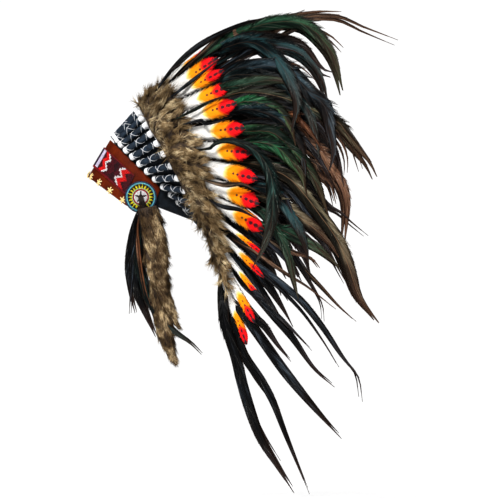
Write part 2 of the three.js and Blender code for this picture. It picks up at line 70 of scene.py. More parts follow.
PLUME_LENGTH, PLUME_WIDTH, QUILL_WIDTH, PLUME_LAST = 176, 35, 3, 14
BEND_LENGTH = 60
TRAIL_PITCH, TRAIL_FALL, TRAIL_FLARE, TRAIL_LIFT = 24, -60, 12, 9
FUR_START, FUR_LENGTH, FUR_HEIGHT = 69, 82, 21
COCK_LENGTH, COCK_WIDTH = 520, 38
LACING_START, LACING_WIDTH, LACING_THICKNESS, LACING_DEPTH = 81, 18, 5, 2.6
TURN_EASE = 1.6
DROP_LENGTH, DROP_FUR_THICKNESS = 300, 20
KNOT_RADIUS, TIE_WIDTH, TIE_RISE = 7, 12, -78

# Place in the row; rise and flare of the tubes, then of the plumes
FAN = np.array([
    (0, 48, 0, 38, 0), (2, 41, 18, 28, 8), (4, 33, 31, 16, 16), (6, 22, 39, -5, 20),
    (8, 2, 48, -22, 21), (10, -24, 46, -38, 20), (12, -48, 38, -52, 16), (14, -62, 28, -70, 10),
])
TUBE_RISE, TUBE_FLARE, PLUME_RISE, PLUME_FLARE = 1, 2, 3, 4

# Filling feathers behind them: place, rise, turn, flare, reach and breadth as shares
FILL_FEATHERS = [
    (0, 37, 26, 0, 0.5, 0.5), (1, 31, 50, 3, 0.6, 0.5), (1.5, 29, 54, 4, 0.62, 0.6),
    (2, 27, 84, 4, 0.6, 0.7), (2.5, 25, 110, 5, 0.56, 0.7), (3, 22, 60, 7, 0.6, 0.6),
    (3.5, 18, 76, 8, 0.68, 0.7), (4, 15, 84, 9, 0.66, 0.7), (4.5, 12, 70, 10, 0.64, 0.7),
    (5, 8, 60, 11, 0.62, 0.7), (5.5, 2, 66, 12, 0.68, 0.7), (6, -4, 56, 13, 0.66, 0.7),
    (6.5, -14, 56, 12, 0.72, 0.6), (7, -16, 46, 13, 0.66, 0.7), (7.5, -21, 38, 13, 0.62, 0.7),
    (8, -25, 36, 13, 0.66, 0.6), (9, -27, 30, 13, 0.58, 0.6), (9.5, -32, 36, 12, 0.52, 0.6),
    (10, -43, 16, 10, 0.6, 0.5), (11, -47, 8, 7, 0.55, 0.4),
]

# Long feathers as they lie seen from the left: breadth, tone, depth behind the row's surface, way (y, z)
LONG_FEATHERS = [
    (10, 0, 44, [(38, 201), (82, 245), (129, 274), (194, 300), (243, 304), (298, 323)]),
    (11, 0.05, 46, [(46, 188), (89, 226), (141, 249), (198, 268), (251, 279)]),
    (17, 0.86, 14, [(120, 255), (192, 289), (256, 306), (319, 317), (367, 317)]),
    (17, 0, 18, [(120, 245), (175, 276), (232, 293), (289, 304), (331, 306)]),
    (13, 0.84, 20, [(239, 281), (287, 306), (350, 309), (382, 300), (401, 290), (473, 261)]),
    (27, 0.5, 6, [(139, 262), (192, 287), (249, 299), (296, 293), (331, 262), (353, 224), (368, 167)]),
    (17, 0.82, 10, [(270, 283), (300, 289), (344, 271), (370, 247)]),
    (25, 0.02, 4, [(156, 255), (192, 268), (239, 264), (287, 253), (319, 220), (329, 207), (348, 200)]),
    (23, 0.3, 8, [(160, 241), (217, 256), (270, 249), (308, 222), (331, 180), (340, 142)]),
    (17, 0.14, 2, [(175, 234), (224, 249), (272, 243), (296, 230)]),
    (13, 0.85, 1, [(217, 226), (266, 220), (294, 207), (319, 182)]),
    (28, 0.3, -19, [(120, 234), (156, 253), (193, 260), (224, 245), (249, 220), (272, 177), (281, 139),
                  (272, 88)]),
    (30, 0.2, -11, [(146, 201), (192, 211), (239, 211), (272, 198), (303, 163), (334, 135), (346, 80),
                  (351, 51), (343, 16)]),
    (27, 0.32, 0, [(141, 188), (190, 196), (236, 188), (274, 165), (304, 127), (319, 78), (323, 40)]),
    (23, 0.46, -7, [(124, 163), (180, 177), (222, 184), (256, 182), (289, 169)]),
    (25, 0.7, 2, [(139, 152), (192, 163), (256, 152), (302, 133), (355, 108), (376, 84), (399, 55),
                  (418, 31), (431, 4)]),
    (23, 0, 5, [(144, 139), (198, 148), (258, 135), (304, 108), (342, 70), (361, 25), (369, -17)]),
    (15, 0.8, 6, [(308, 127), (350, 106), (386, 72), (397, 42), (405, 17)]),
    (15, 0.84, 3, [(323, 108), (351, 86), (368, 65), (377, 36), (376, 10)]),
    (25, 0.6, -6, [(160, 139), (200, 144), (239, 133), (256, 120), (272, 91), (279, 63)]),
    (27, 0.25, -3, [(167, 127), (209, 127), (251, 108), (281, 70), (294, 25), (296, -13)]),
    (19, 0.97, -3, [(255, 120), (287, 106), (296, 99), (315, 75), (336, 42)]),
    (11, 0.14, 1, [(289, 104), (332, 90), (342, 49)]),
    (25, 0.62, -2, [(156, 86), (189, 88), (235, 86), (268, 58), (300, 21), (322, -19), (342, -75)]),
    (17, 0.05, 4, [(167, 101), (217, 104), (270, 89), (312, 51), (342, 2), (357, -40)]),
    (25, 0.58, -7, [(167, 63), (202, 68), (241, 60), (268, 36), (290, 8), (300, -30)]),
    (25, 0.38, -22, [(114, 55), (131, 67), (154, 71), (191, 60), (218, 36), (235, -2), (237, -51),
                  (231, -95), (218, -134), (200, -165)]),
    (22, 0.88, 5, [(194, 80), (239, 84), (279, 73), (322, 53), (344, 21), (366, -10), (376, -51),
                  (371, -125)]),
    (17, 0.84, 2, [(289, 36), (322, 8), (344, -10), (355, -49)]),
    (13, 0, 4, [(258, 21), (296, -1), (322, -30), (344, -53), (366, -66), (383, -82), (415, -108)]),
    (17, 0.44, 1, [(262, 25), (300, 10), (322, -10), (332, -36), (342, -75)]),
    (10, 0.15, -1, [(281, -25), (317, -53), (332, -73), (345, -89)]),
    (26, 0.74, -5, [(194, 28), (231, 18), (268, -1), (300, -36), (327, -73), (351, -106), (368, -139),
                  (383, -178), (399, -224), (434, -270)]),
    (14, 0.04, 2, [(198, 6), (236, -6), (274, -32), (304, -70), (331, -116), (353, -158), (376, -200)]),
    (25, 0.3, -7, [(194, -13), (228, -21), (258, -48), (283, -86), (298, -127), (304, -162)]),
    (23, 0.48, -2, [(209, -86), (246, -95), (290, -115), (322, -132), (355, -161), (362, -174)]),
    (17, 0.84, -3, [(251, -127), (294, -145), (311, -152), (325, -169)]),
    (25, 0.74, -4, [(205, -32), (239, -41), (272, -63), (312, -93), (344, -124), (359, -147)]),
    (21, 0.46, -6, [(205, -55), (235, -84), (255, -117), (268, -150), (276, -189), (285, -228)]),
    (13, 0.14, -7, [(236, -21), (265, -47), (276, -84), (287, -108)]),
    (13, 0.14, -5, [(258, -74), (289, -97), (312, -117), (322, -130)]),
    (13, 0.08, 0, [(186, -146), (215, -169), (254, -200), (293, -234), (331, -281), (370, -339),
                  (397, -374), (405, -420)]),
    (8, 0, 3, [(182, -158), (217, -180), (258, -215), (296, -256), (334, -310), (361, -355)]),
    (11, 0, -2, [(236, -101), (269, -138), (300, -184), (328, -234), (333, -269)]),
    (11, 0.8, 4, [(243, -124), (281, -157), (324, -200), (363, -242), (393, -269)]),
    (8, 0.86, -4, [(156, -110), (200, -137), (262, -180), (300, -203), (355, -246)]),
    (15, 0, -3, [(175, -192), (203, -218), (234, -254), (273, -300), (315, -359), (353, -393)]),
    (10, 0.05, -5, [(190, -207), (218, -234), (262, -274), (310, -324)]),
    (17, 0.06, 1, [(152, -222), (176, -250), (215, -304), (254, -359), (293, -408), (331, -452),
                  (366, -490)]),
    (15, 0, -6, [(198, -253), (222, -281), (246, -315), (271, -345)]),
    (20, 0.02, -2, [(135, -158), (141, -211), (145, -266), (165, -332), (184, -408), (211, -486),
                  (246, -545), (277, -593)]),
    (13, 0.02, 2, [(148, -230), (169, -289), (184, -335), (215, -382), (238, -424), (262, -486),
                  (289, -553), (306, -595)]),
    (10, 0, 3, [(167, -306), (198, -367), (228, -412), (252, -444)]),
    (11, 0.05, 0, [(160, -325), (182, -412), (217, -484), (253, -543)]),
    (6, 0, -24, [(40, 202), (55, 215), (70, 225)]),
    (8, 0.04, -24, [(57, 165), (97, 197), (124, 218), (148, 234)]),
    (7, 0.42, -24, [(84, 127), (121, 146), (163, 160)]),
    (6, 0, -24, [(97, 109), (109, 102), (137, 107), (160, 116)]),
    (10, 0.8, -24, [(139, -12), (180, -12), (213, -28)]),
    (10, 0, -24, [(137, -51), (176, -60), (213, -80)]),
]

# A side drop: out from the tie, then half widths and way of the fur strips,
# or breadth, tone and way of the feathers
DROP_FURS = [
    (9, [20, 22, 23, 17, 9, 2], [(-1, -54), (10, -110), (17, -175), (32, -228), (45, -259), (52, -276)]),
    (0, [14, 18, 17, 12, 3], [(14, -190), (23, -240), (32, -296), (42, -330), (46, -342)]),
]
DROP_PLUMES = [
    (-3, 19, 0.02, [(-10, -50), (-23, -72), (-30, -133), (-25, -198), (-8, -247), (15, -300)]),
    (-5, 15, 0.06, [(-8, -50), (-27, -100), (-36, -160), (-33, -215), (-24, -255)]),
    (-1, 9, 0.14, [(-12, -60), (-26, -135), (-31, -198), (-35, -256)]),
    (5, 15, 0.36, [(-6, -60), (-20, -144), (-11, -187), (0, -226), (24, -264), (50, -290), (81, -312),
                   (102, -333)]),
    (3, 11, 0.05, [(-6, -60), (-14, -150), (-4, -200), (8, -250), (22, -292)]),
    (9, 5, 0.98, [(-12, -50), (-19, -95), (-14, -150), (-5, -205), (6, -240)]),
    (8, 4, 0.9, [(-14, -60), (-20, -120), (-14, -180), (-6, -222)]),
]

# Camera: the picture's scale, and the pixel where the part's origin falls
PICTURE = 502
MM_PER_PIXEL = 1.9
ORIGIN_PIXEL = (148, 179)
CAMERA_DISTANCE = 12000
FOCUS_PLANE = 60


# ---- Row and head model ----

def unit(v):
    return v / np.maximum(np.linalg.norm(v, axis=-1, keepdims=True), 1e-9)


def mix(a, b, share):
    return a + (b - a) * share


def smoothstep(x, low, high):
    t = np.clip((np.asarray(x, float) - low) / (high - low), 0, 1)
    return t * t * (3 - 2 * t)


def heading(rise, flare):
    rise, flare = np.broadcast_arrays(np.radians(rise), np.radians(flare))
    return np.stack([np.sin(flare), np.cos(flare) * np.cos(rise), np.cos(flare) * np.sin(rise)], -1)


def wall_point(angle, height, out):
    angle, height, out = np.broadcast_arrays(*(np.asarray(v, float) for v in (angle, height, out)))
    front, side = np.cos(np.radians(angle)), np.sin(np.radians(angle))
    lean = mix(SIDE_LEAN, FRONT_LEAN, np.maximum(0, front))
    half = HEAD_HALF_WIDTH - SIDE_LEAN * height
    depth = np.where(front > 0, HEAD_FRONT, HEAD_BACK) - lean * height
    normal = unit(np.stack([depth * side, -half * front, 0 * side], -1))
    p = np.stack([half * side, -depth * front, height], -1) + normal * out[..., None]
    c, s = math.cos(math.radians(RING_TILT)), math.sin(math.radians(RING_TILT))
    return np.stack([p[..., 0], p[..., 1] * c + p[..., 2] * s, -p[..., 1] * s + p[..., 2] * c], -1)


def seat_height(angle):
    front = np.cos(np.radians(angle))
    return SEAT_HEIGHT + SEAT_SLOPE * front * np.where(front > 0, HEAD_FRONT, HEAD_BACK)


def brow_bottom(angle):
    return mix(BROW_SIDE_BOTTOM, BROW_FRONT_BOTTOM, np.maximum(0, (np.cos(np.radians(angle)) - 0.2) / 0.8))


def cap_bottom(angle):
    return mix(CAP_BACK_BOTTOM, CAP_FRONT_BOTTOM, np.maximum(0, np.cos(np.radians(angle))))


def brow_top(angle):
    return seat_height(angle) - BROW_TOP_DROP


ARC_STEP = 0.25
arc_angles = np.arange(0, 200, ARC_STEP)
arc_depths = np.where(np.cos(np.radians(arc_angles)) > 0, HEAD_FRONT, HEAD_BACK)
arc_walked = np.concatenate([[0], np.cumsum(math.radians(ARC_STEP) * np.hypot(
    HEAD_HALF_WIDTH * np.cos(np.radians(arc_angles)), arc_depths * np.sin(np.radians(arc_angles))))])


def angle_at_arc(length):
    return np.searchsorted(arc_walked, np.asarray(length, float) - 1e-9) * ARC_STEP


def fan(place, column):
    return np.interp(np.abs(place), FAN[:, 0], FAN[:, column])


def seat(place):
    place = np.abs(np.asarray(place, float))
    angle = angle_at_arc(np.minimum(place, TUBE_LAST) * TUBE_PITCH)
    foot = wall_point(angle, seat_height(angle), CLOTH + GAP + TUBE_RADIUS)
    down = np.maximum(0, place - TUBE_LAST) * TRAIL_PITCH
    return foot + heading(TRAIL_FALL, TRAIL_FLARE) * down[..., None]


# The row's lines on a grid of places and distances, walked in the same steps as in the part's source
GRID_PLACE, GRID_STEP, GRID_REACH = 0.25, 6, 50
grid_places = np.arange(0, PLUME_LAST + GRID_PLACE / 2, GRID_PLACE)
grid = np.zeros((len(grid_places), GRID_REACH + 1, 3))
grid[:, 0] = seat(grid_places)
tube_way = heading(fan(grid_places, TUBE_RISE), fan(grid_places, TUBE_FLARE))
plume_way = heading(fan(grid_places, PLUME_RISE), fan(grid_places, PLUME_FLARE))
for step in range(GRID_REACH):
    bend = smoothstep(step * GRID_STEP, TUBE_LENGTH, TUBE_LENGTH + BEND_LENGTH)
    grid[:, step + 1] = grid[:, step] + unit(mix(tube_way, plume_way, bend)) * GRID_STEP


def row_point(place, distance):
    p = np.clip(np.asarray(place, float) / GRID_PLACE, 0, len(grid_places) - 1.001)
    d = np.clip(np.asarray(distance, float) / GRID_STEP, 0, GRID_REACH - 0.001)
    i, j = p.astype(int), d.astype(int)
    fp, fd = (p - i)[..., None], (d - j)[..., None]
    near = mix(grid[i, j], grid[i, j + 1], fd)
    return mix(near, mix(grid[i + 1, j], grid[i + 1, j + 1], fd), fp)


# Point, way along, across and out of the row's surface. A negative place is the right side's mirror image
def row_frame(place, distance):
    place, distance = np.broadcast_arrays(np.asarray(place, float), np.asarray(distance, float))
    low = np.minimum(np.abs(place), PLUME_LAST - 0.25)
    point = row_point(np.abs(place), distance)
    along = unit(row_point(low, distance + 4) - row_point(low, np.maximum(0, distance - 4)))
    before = row_point(np.where(low < 0.25, 0.25, low - 0.25), distance)
    before[..., 0] *= np.where(low < 0.25, -1, 1)
    across = row_point(low + 0.25, distance) - before
    level = unit(np.array([1.0, 0, 0]) - along * along[..., :1])
    trail = smoothstep(low, TUBE_LAST - 1.5, TUBE_LAST + 0.5)[..., None]
    out = unit(mix(unit(np.cross(across, along)), level, trail))
    frames = [point, along, out, np.cross(along, out)]
    flip = np.where(place < 0, -1, 1)
    for v in frames:
        v[..., 0] *= flip
    return frames


def row_at(place, distance, out):
    point, _, normal, _ = row_frame(place, distance)
    lift = TRAIL_LIFT * smoothstep(np.abs(place), TUBE_LAST - 0.5, TUBE_LAST + 1)
    return point + normal * (out + np.sign(out) * lift)[..., None]


# ---- Meshes ----

def piece(name, verts, faces, material, smooth=True, edges=(), **attributes):
    """A mesh object from points in millimetres, with attributes on its points."""
    mesh = bpy.data.meshes.new(name)
    mesh.from_pydata((np.asarray(verts) * MM).tolist(), list(edges), list(faces))
    for key, values in attributes.items():
        values = np.asarray(values, float)
        wide = values.ndim > 1
        kind = ("FLOAT_COLOR" if values.shape[1] == 4 else "FLOAT_VECTOR") if wide else "FLOAT"
        layer = mesh.attributes.new(key, kind, "POINT")
        field = {"FLOAT": "value", "FLOAT_VECTOR": "vector", "FLOAT_COLOR": "color"}[kind]
        layer.data.foreach_set(field, values.astype(np.float32).ravel())
    if material:
        mesh.materials.append(material)
    if smooth and len(faces):
        mesh.polygons.foreach_set("use_smooth", np.ones(len(faces), bool))
    obj = bpy.data.objects.new(name, mesh)
    bpy.context.scene.collection.objects.link(obj)
    return obj


def on_head(obj, slot, *nodes):
    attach(obj, "root")
    if nodes:
        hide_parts(*nodes)
    return obj


def loft_faces(count, size, loop=False, closed=True, caps=True, base=0):
    """Faces through count sections of size points. Sections are closed rings or open lines."""
    faces = []
    for i in range(count if loop else count - 1):
        for j in range(size if closed else size - 1):
            a, b = i * size + j, i * size + (j + 1) % size
            c, d = ((i + 1) % count) * size + j, ((i + 1) % count) * size + (j + 1) % size
            faces.append((base + a, base + b, base + d, base + c))
    if closed and caps and not loop:
        faces.append(tuple(base + j for j in reversed(range(size))))
        faces.append(tuple(base + (count - 1) * size + j for j in range(size)))
    return faces


def outward(verts, faces):
    """The faces, turned round if they enclose a negative volume."""
    verts = np.asarray(verts)
    sum6 = 0.0
    for f in faces:
        for k in range(1, len(f) - 1):
            sum6 += np.dot(verts[f[0]], np.cross(verts[f[k]], verts[f[k + 1]]))
    return faces if sum6 > 0 else [tuple(reversed(f)) for f in faces]


class Pile:
    """Collects closed bodies for one mesh object, with point attributes."""

    def __init__(self):
        self.verts, self.faces, self.values, self.count = [], [], {}, 0

    def add(self, verts, faces, **values):
        verts = np.asarray(verts, float).reshape(-1, 3)
        self.faces += [tuple(self.count + i for i in f) for f in outward(verts, faces)]
        self.verts.append(verts)
        for key, value in values.items():
            value = np.asarray(value, float)
            if not value.ndim or len(value) != len(verts):
                value = np.broadcast_to(value, (len(verts),) + value.shape)
            self.values.setdefault(key, []).append(value)
        self.count += len(verts)

    def build(self, name, material):
        return piece(name, np.concatenate(self.verts), self.faces, material,
                     **{k: np.concatenate(v) for k, v in self.values.items()})


# ---- Node graphs, for shaders and for geometry ----

class Graph:
    def __init__(self, tree):
        self.tree = tree

    def plug(self, socket, value):
        if isinstance(value, bpy.types.NodeSocket):
            self.tree.links.new(value, socket)
        elif value is not None:
            socket.default_value = value

    def add(self, kind, inputs=None, **props):
        node = self.tree.nodes.new(kind)
        for key, value in props.items():
            setattr(node, key, value)
        for key, value in (inputs or {}).items():
            self.plug(node.inputs[key], value)
        return node

    def math(self, op, a, b=None, c=None, clamp=False):
        values = {i: v for i, v in enumerate((a, b, c)) if v is not None}
        return self.add("ShaderNodeMath", values, operation=op, use_clamp=clamp).outputs[0]

    def vector(self, op, a, b=None, scale=None):
        values = {i: v for i, v in enumerate((a, b)) if v is not None}
        if scale is not None:
            values["Scale"] = scale
        node = self.add("ShaderNodeVectorMath", values, operation=op)
        return node.outputs["Value" if op in ("DOT_PRODUCT", "LENGTH", "DISTANCE") else "Vector"]

    def xyz(self, x, y, z):
        return self.add("ShaderNodeCombineXYZ", {0: x, 1: y, 2: z}).outputs[0]

    def split(self, v):
        return self.add("ShaderNodeSeparateXYZ", {0: v}).outputs

    def step(self, x, low, high, start=0.0, end=1.0):
        return self.add("ShaderNodeMapRange", {0: x, 1: low, 2: high, 3: start, 4: end},
                        interpolation_type="SMOOTHSTEP").outputs[0]

    def noise(self, vector, scale, detail=2.0, rough=0.5, spread=0.0):
        return self.add("ShaderNodeTexNoise", {"Vector": vector, "Scale": scale, "Detail": detail,
                                               "Roughness": rough, "Distortion": spread})

    def blend(self, share, a, b, mode="MIX"):
        node = self.add("ShaderNodeMix", {0: share}, data_type="RGBA", blend_type=mode, clamp_factor=True)
        self.plug(node.inputs[6], a)
        self.plug(node.inputs[7], b)
        return node.outputs[2]

    def ramp(self, share, stops, mode="EASE"):
        node = self.add("ShaderNodeValToRGB", {0: share})
        node.color_ramp.interpolation = mode
        line = node.color_ramp.elements
        line[0].position, line[0].color = stops[0][0], shade(stops[0][1])
        line[1].position, line[1].color = stops[-1][0], shade(stops[-1][1])
        for at, colour in stops[1:-1]:
            line.new(at).color = shade(colour)
        return node.outputs[0]

    def attribute(self, name, output="Vector"):
        return self.add("ShaderNodeAttribute", attribute_name=name).outputs[output]

    def place(self):
        return self.add("ShaderNodeTexCoord").outputs["Object"]

    def group(self, tree, inputs):
        node = self.tree.nodes.new("ShaderNodeGroup")
        node.node_tree = tree
        for key, value in inputs.items():
            self.plug(node.inputs[key], value)
        return node.outputs


def shade(colour):
    """A colour given as a hex string in display values, as linear RGBA."""
    if not isinstance(colour, str):
        return tuple(colour)
    parts = [int(colour[i:i + 2], 16) / 255 for i in (0, 2, 4)]
    return tuple(c / 12.92 if c <= 0.04045 else ((c + 0.055) / 1.055) ** 2.4 for c in parts) + (1.0,)


SOCKETS = {"float": "NodeSocketFloat", "colour": "NodeSocketColor", "vector": "NodeSocketVector",
           "int": "NodeSocketInt", "material": "NodeSocketMaterial", "geometry": "NodeSocketGeometry"}


def new_tree(kind, name, inputs, outputs):
    tree = bpy.data.node_groups.new(name, kind)
    for side, sockets in (("INPUT", inputs), ("OUTPUT", outputs)):
        for key, value in sockets.items():
            word, default = value if isinstance(value, tuple) else (value, None)
            socket = tree.interface.new_socket(key, in_out=side, socket_type=SOCKETS[word])
            if default is not None:
                socket.default_value = default
    graph = Graph(tree)
    source, sink = tree.nodes.new("NodeGroupInput"), tree.nodes.new("NodeGroupOutput")
    return graph, source.outputs, sink.inputs


def finish_material(name, build):
    """A material whose build function gets its graph and returns the shader's inputs."""
    mat = bpy.data.materials.new(name)
    mat.use_nodes = True
    tree = mat.node_tree
    shader = tree.nodes["Principled BSDF"]
    graph = Graph(tree)
    for key, value in build(graph).items():
        graph.plug(shader.inputs[key], value)
    return mat


def bumped(graph, height, strength, distance):
    return graph.add("ShaderNodeBump", {"Height": height, "Strength": strength,
                                        "Distance": distance}).outputs[0]


# ---- Shader groups ----

# Fine grain of felt, hide and thread: a mottle for colour and a height for bump
g, at, to = new_tree("ShaderNodeTree", "Fine grain", {
    "Vector": "vector", "Scale": ("float", 900.0), "Mottle": ("float", 60.0), "Pits": ("float", 0.4)},
    {"Tone": "float", "Height": "float"})
fine = g.noise(at["Vector"], at["Scale"], 3.0, 0.6).outputs[0]
patch = g.noise(at["Vector"], at["Mottle"], 3.0, 0.55).outputs[0]
cells = g.add("ShaderNodeTexVoronoi", {"Vector": at["Vector"], "Scale": at["Scale"]}).outputs["Distance"]
g.plug(to["Tone"], g.math("ADD", g.math("MULTIPLY", patch, 0.7), g.math("MULTIPLY", fine, 0.3)))
g.plug(to["Height"], g.math("ADD", fine, g.math("MULTIPLY", cells, at["Pits"])))
FINE_GRAIN = g.tree

# Barbs of a feather: slanted fine lines on both sides of the shaft, read from the lie attribute
g, at, to = new_tree("ShaderNodeTree", "Barb lines", {
    "Lie": "vector", "Lines": ("float", 150.0), "Slant": ("float", 0.12), "Seed": ("float", 0.0)},
    {"Lines": "float", "Clumps": "float"})
along, across, _ = g.split(at["Lie"])
slanted = g.math("SUBTRACT", along, g.math("MULTIPLY", g.math("ABSOLUTE", across), at["Slant"]))
spot = g.xyz(g.math("MULTIPLY", slanted, at["Lines"]), g.math("MULTIPLY", across, 0.6), at["Seed"])
g.plug(to["Lines"], g.noise(spot, 1.0, 2.0, 0.6).outputs[0])
g.plug(to["Clumps"], g.noise(spot, 0.16, 2.0, 0.5).outputs[0])
BARB_LINES = g.tree

# Fur colours: each hair has a tone, and darkens to its root and its tip
g, at, to = new_tree("ShaderNodeTree", "Fur colours", {
    "Place": "vector", "Tone": "float", "Along": "float", "Dark": "colour", "Middle": "colour",
    "Light": "colour", "Patch": ("float", 26.0)}, {"Colour": "colour"})
patch = g.noise(at["Place"], at["Patch"], 3.0, 0.6).outputs[0]
tone = g.math("ADD", g.math("MULTIPLY", at["Tone"], 0.55),
              g.math("MULTIPLY", g.step(patch, 0.32, 0.68), 0.45))
low = g.blend(g.step(tone, 0.12, 0.5), at["Dark"], at["Middle"])
body = g.blend(g.step(tone, 0.5, 0.92), low, at["Light"])
root = g.blend(g.step(at["Along"], 0.0, 0.42, 0.75, 0.0), body, at["Dark"])
g.plug(to["Colour"], g.blend(g.step(at["Along"], 0.72, 1.0, 0.0, 0.45), root, at["Dark"]))
FUR_COLOURS = g.tree


# ---- Materials ----

def grain(graph, scale, mottle, pits=0.4):
    return graph.group(FINE_GRAIN, {"Vector": graph.place(), "Scale": scale, "Mottle": mottle, "Pits": pits})


def leather(graph):
    tone, height = grain(graph, 700.0, 45.0, 0.8)
    colour = graph.ramp(tone, [(0.3, "3a0f00"), (0.5, "5c1c02"), (0.72, "762a06")])
    rough = graph.math("MULTIPLY_ADD", tone, 0.25, 0.55)
    return {"Base Color": colour, "Roughness": rough, "Specular IOR Level": 0.1,
            "Normal": bumped(graph, height, 0.5, 0.0006)}


def felt(graph):
    tone, height = grain(graph, 1400.0, 90.0, 0.2)
    colour = graph.ramp(tone, [(0.3, "080b0f"), (0.7, "182029")])
    return {"Base Color": colour, "Roughness": 0.92, "Sheen Weight": 0.12, "Sheen Roughness": 0.5,
            "Specular IOR Level": 0.2,
            "Normal": bumped(graph, height, 0.6, 0.0005)}


def backing(graph):
    tone, height = grain(graph, 900.0, 70.0, 0.5)
    colour = graph.ramp(tone, [(0.3, "26060c"), (0.7, "430d18")])
    return {"Base Color": colour, "Roughness": 0.8, "Normal": bumped(graph, height, 0.5, 0.0005)}


def bead_glass(graph):
    colour = graph.attribute("bead", "Color")
    tone, height = grain(graph, 260.0, 120.0)
    shaded = graph.blend(graph.step(tone, 0.4, 0.7, 0.0, 0.12), colour, (0.01, 0.008, 0.01, 1.0))
    return {"Base Color": shaded, "Roughness": graph.math("MULTIPLY_ADD", tone, 0.2, 0.3),
            "Specular IOR Level": 0.3, "Normal": bumped(graph, height, 0.08, 0.0003)}


def wrapped_tube(graph):
    lie = graph.attribute("lie")
    along, _, white = graph.split(lie)
    winding = graph.math("SINE", graph.math("MULTIPLY", along, 2 * math.pi * 1.25))
    tone, height = grain(graph, 1200.0, 160.0)
    dark = graph.ramp(tone, [(0.3, "0c141e"), (0.55, "1e2d3c"), (0.75, "364a5e")])
    pale = graph.ramp(tone, [(0.3, "dfe1e4"), (0.6, "ffffff")])
    colour = graph.blend(white, dark, pale)
    lines = graph.math("ADD", graph.math("MULTIPLY", winding, 0.5), graph.math("MULTIPLY", height, 0.4))
    return {"Base Color": colour, "Roughness": graph.math("MULTIPLY_ADD", tone, 0.3, 0.5),
            "Specular IOR Level": 0.3, "Normal": bumped(graph, lines, 0.55, 0.0004)}


def thread(colours):
    def build(graph):
        tone, height = grain(graph, 2600.0, 300.0)
        return {"Base Color": graph.ramp(tone, [(0.3, colours[0]), (0.7, colours[1])]), "Roughness": 0.7,
                "Sheen Weight": 0.2, "Normal": bumped(graph, height, 0.4, 0.0002)}
    return build


PLUME_DOTS = [(0.735, 2.3), (0.785, 2.7), (0.85, 4.1), (0.915, 5.3)]


def painted_plume(graph):
    lie = graph.attribute("lie")
    along, across, _ = graph.split(lie)
    tone = graph.attribute("tone", "Fac")
    lines = graph.group(BARB_LINES, {"Lie": lie, "Lines": 120.0, "Slant": 0.2,
                                     "Seed": graph.math("MULTIPLY", tone, 90.0)})
    dab = graph.math("MULTIPLY", graph.math("MULTIPLY", across, across), 0.085)
    ragged = graph.math("MULTIPLY", graph.math("SUBTRACT", lines[0], 0.5), 0.05)
    wave = graph.math("MULTIPLY", graph.math("SUBTRACT", lines[1], 0.5), 0.05)
    at = graph.math("ADD", graph.math("SUBTRACT", along, dab), graph.math("ADD", ragged, wave))
    paint = graph.ramp(at, [
        (0.0, "cfcdc9"), (0.3, "e4e2de"), (0.6, "efede8"), (0.63, "ffd77e"), (0.66, "ff9f06"),
        (0.775, "ff9200"),
        (0.795, "fb5a08"), (0.815, "f5101a"), (0.93, "ee0c18"), (0.95, "7a1018"), (0.965, "2a2a30"),
        (1.0, "1c1e22")], "LINEAR")
    streak = graph.math("MULTIPLY", graph.step(lines[0], 0.42, 0.72), graph.step(at, 0.5, 0.62, 0.85, 0.1))
    colour = graph.blend(streak, paint, (0.36, 0.36, 0.38, 1.0), "MULTIPLY")
    marks = None
    for place, radius in PLUME_DOTS:
        long = graph.math("MULTIPLY", graph.math("SUBTRACT", along, place), PLUME_LENGTH / radius)
        wide = graph.math("MULTIPLY", across, PLUME_WIDTH / 2 / radius)
        far = graph.math("SQRT", graph.math("ADD", graph.math("MULTIPLY", long, long),
                                            graph.math("MULTIPLY", wide, wide)))
        mark = graph.step(graph.math("ADD", far, graph.math("MULTIPLY", lines[0], 0.3)), 0.85, 1.35, 1.0, 0.0)
        marks = mark if marks is None else graph.math("MAXIMUM", marks, mark)
    colour = graph.blend(graph.math("MULTIPLY", marks, 0.92), colour, shade("1a1c24"))
    return {"Base Color": colour, "Roughness": graph.math("MULTIPLY_ADD", lines[0], 0.2, 0.6),
            "Specular IOR Level": 0.15, "Normal": bumped(graph, lines[0], 0.5, 0.0006)}


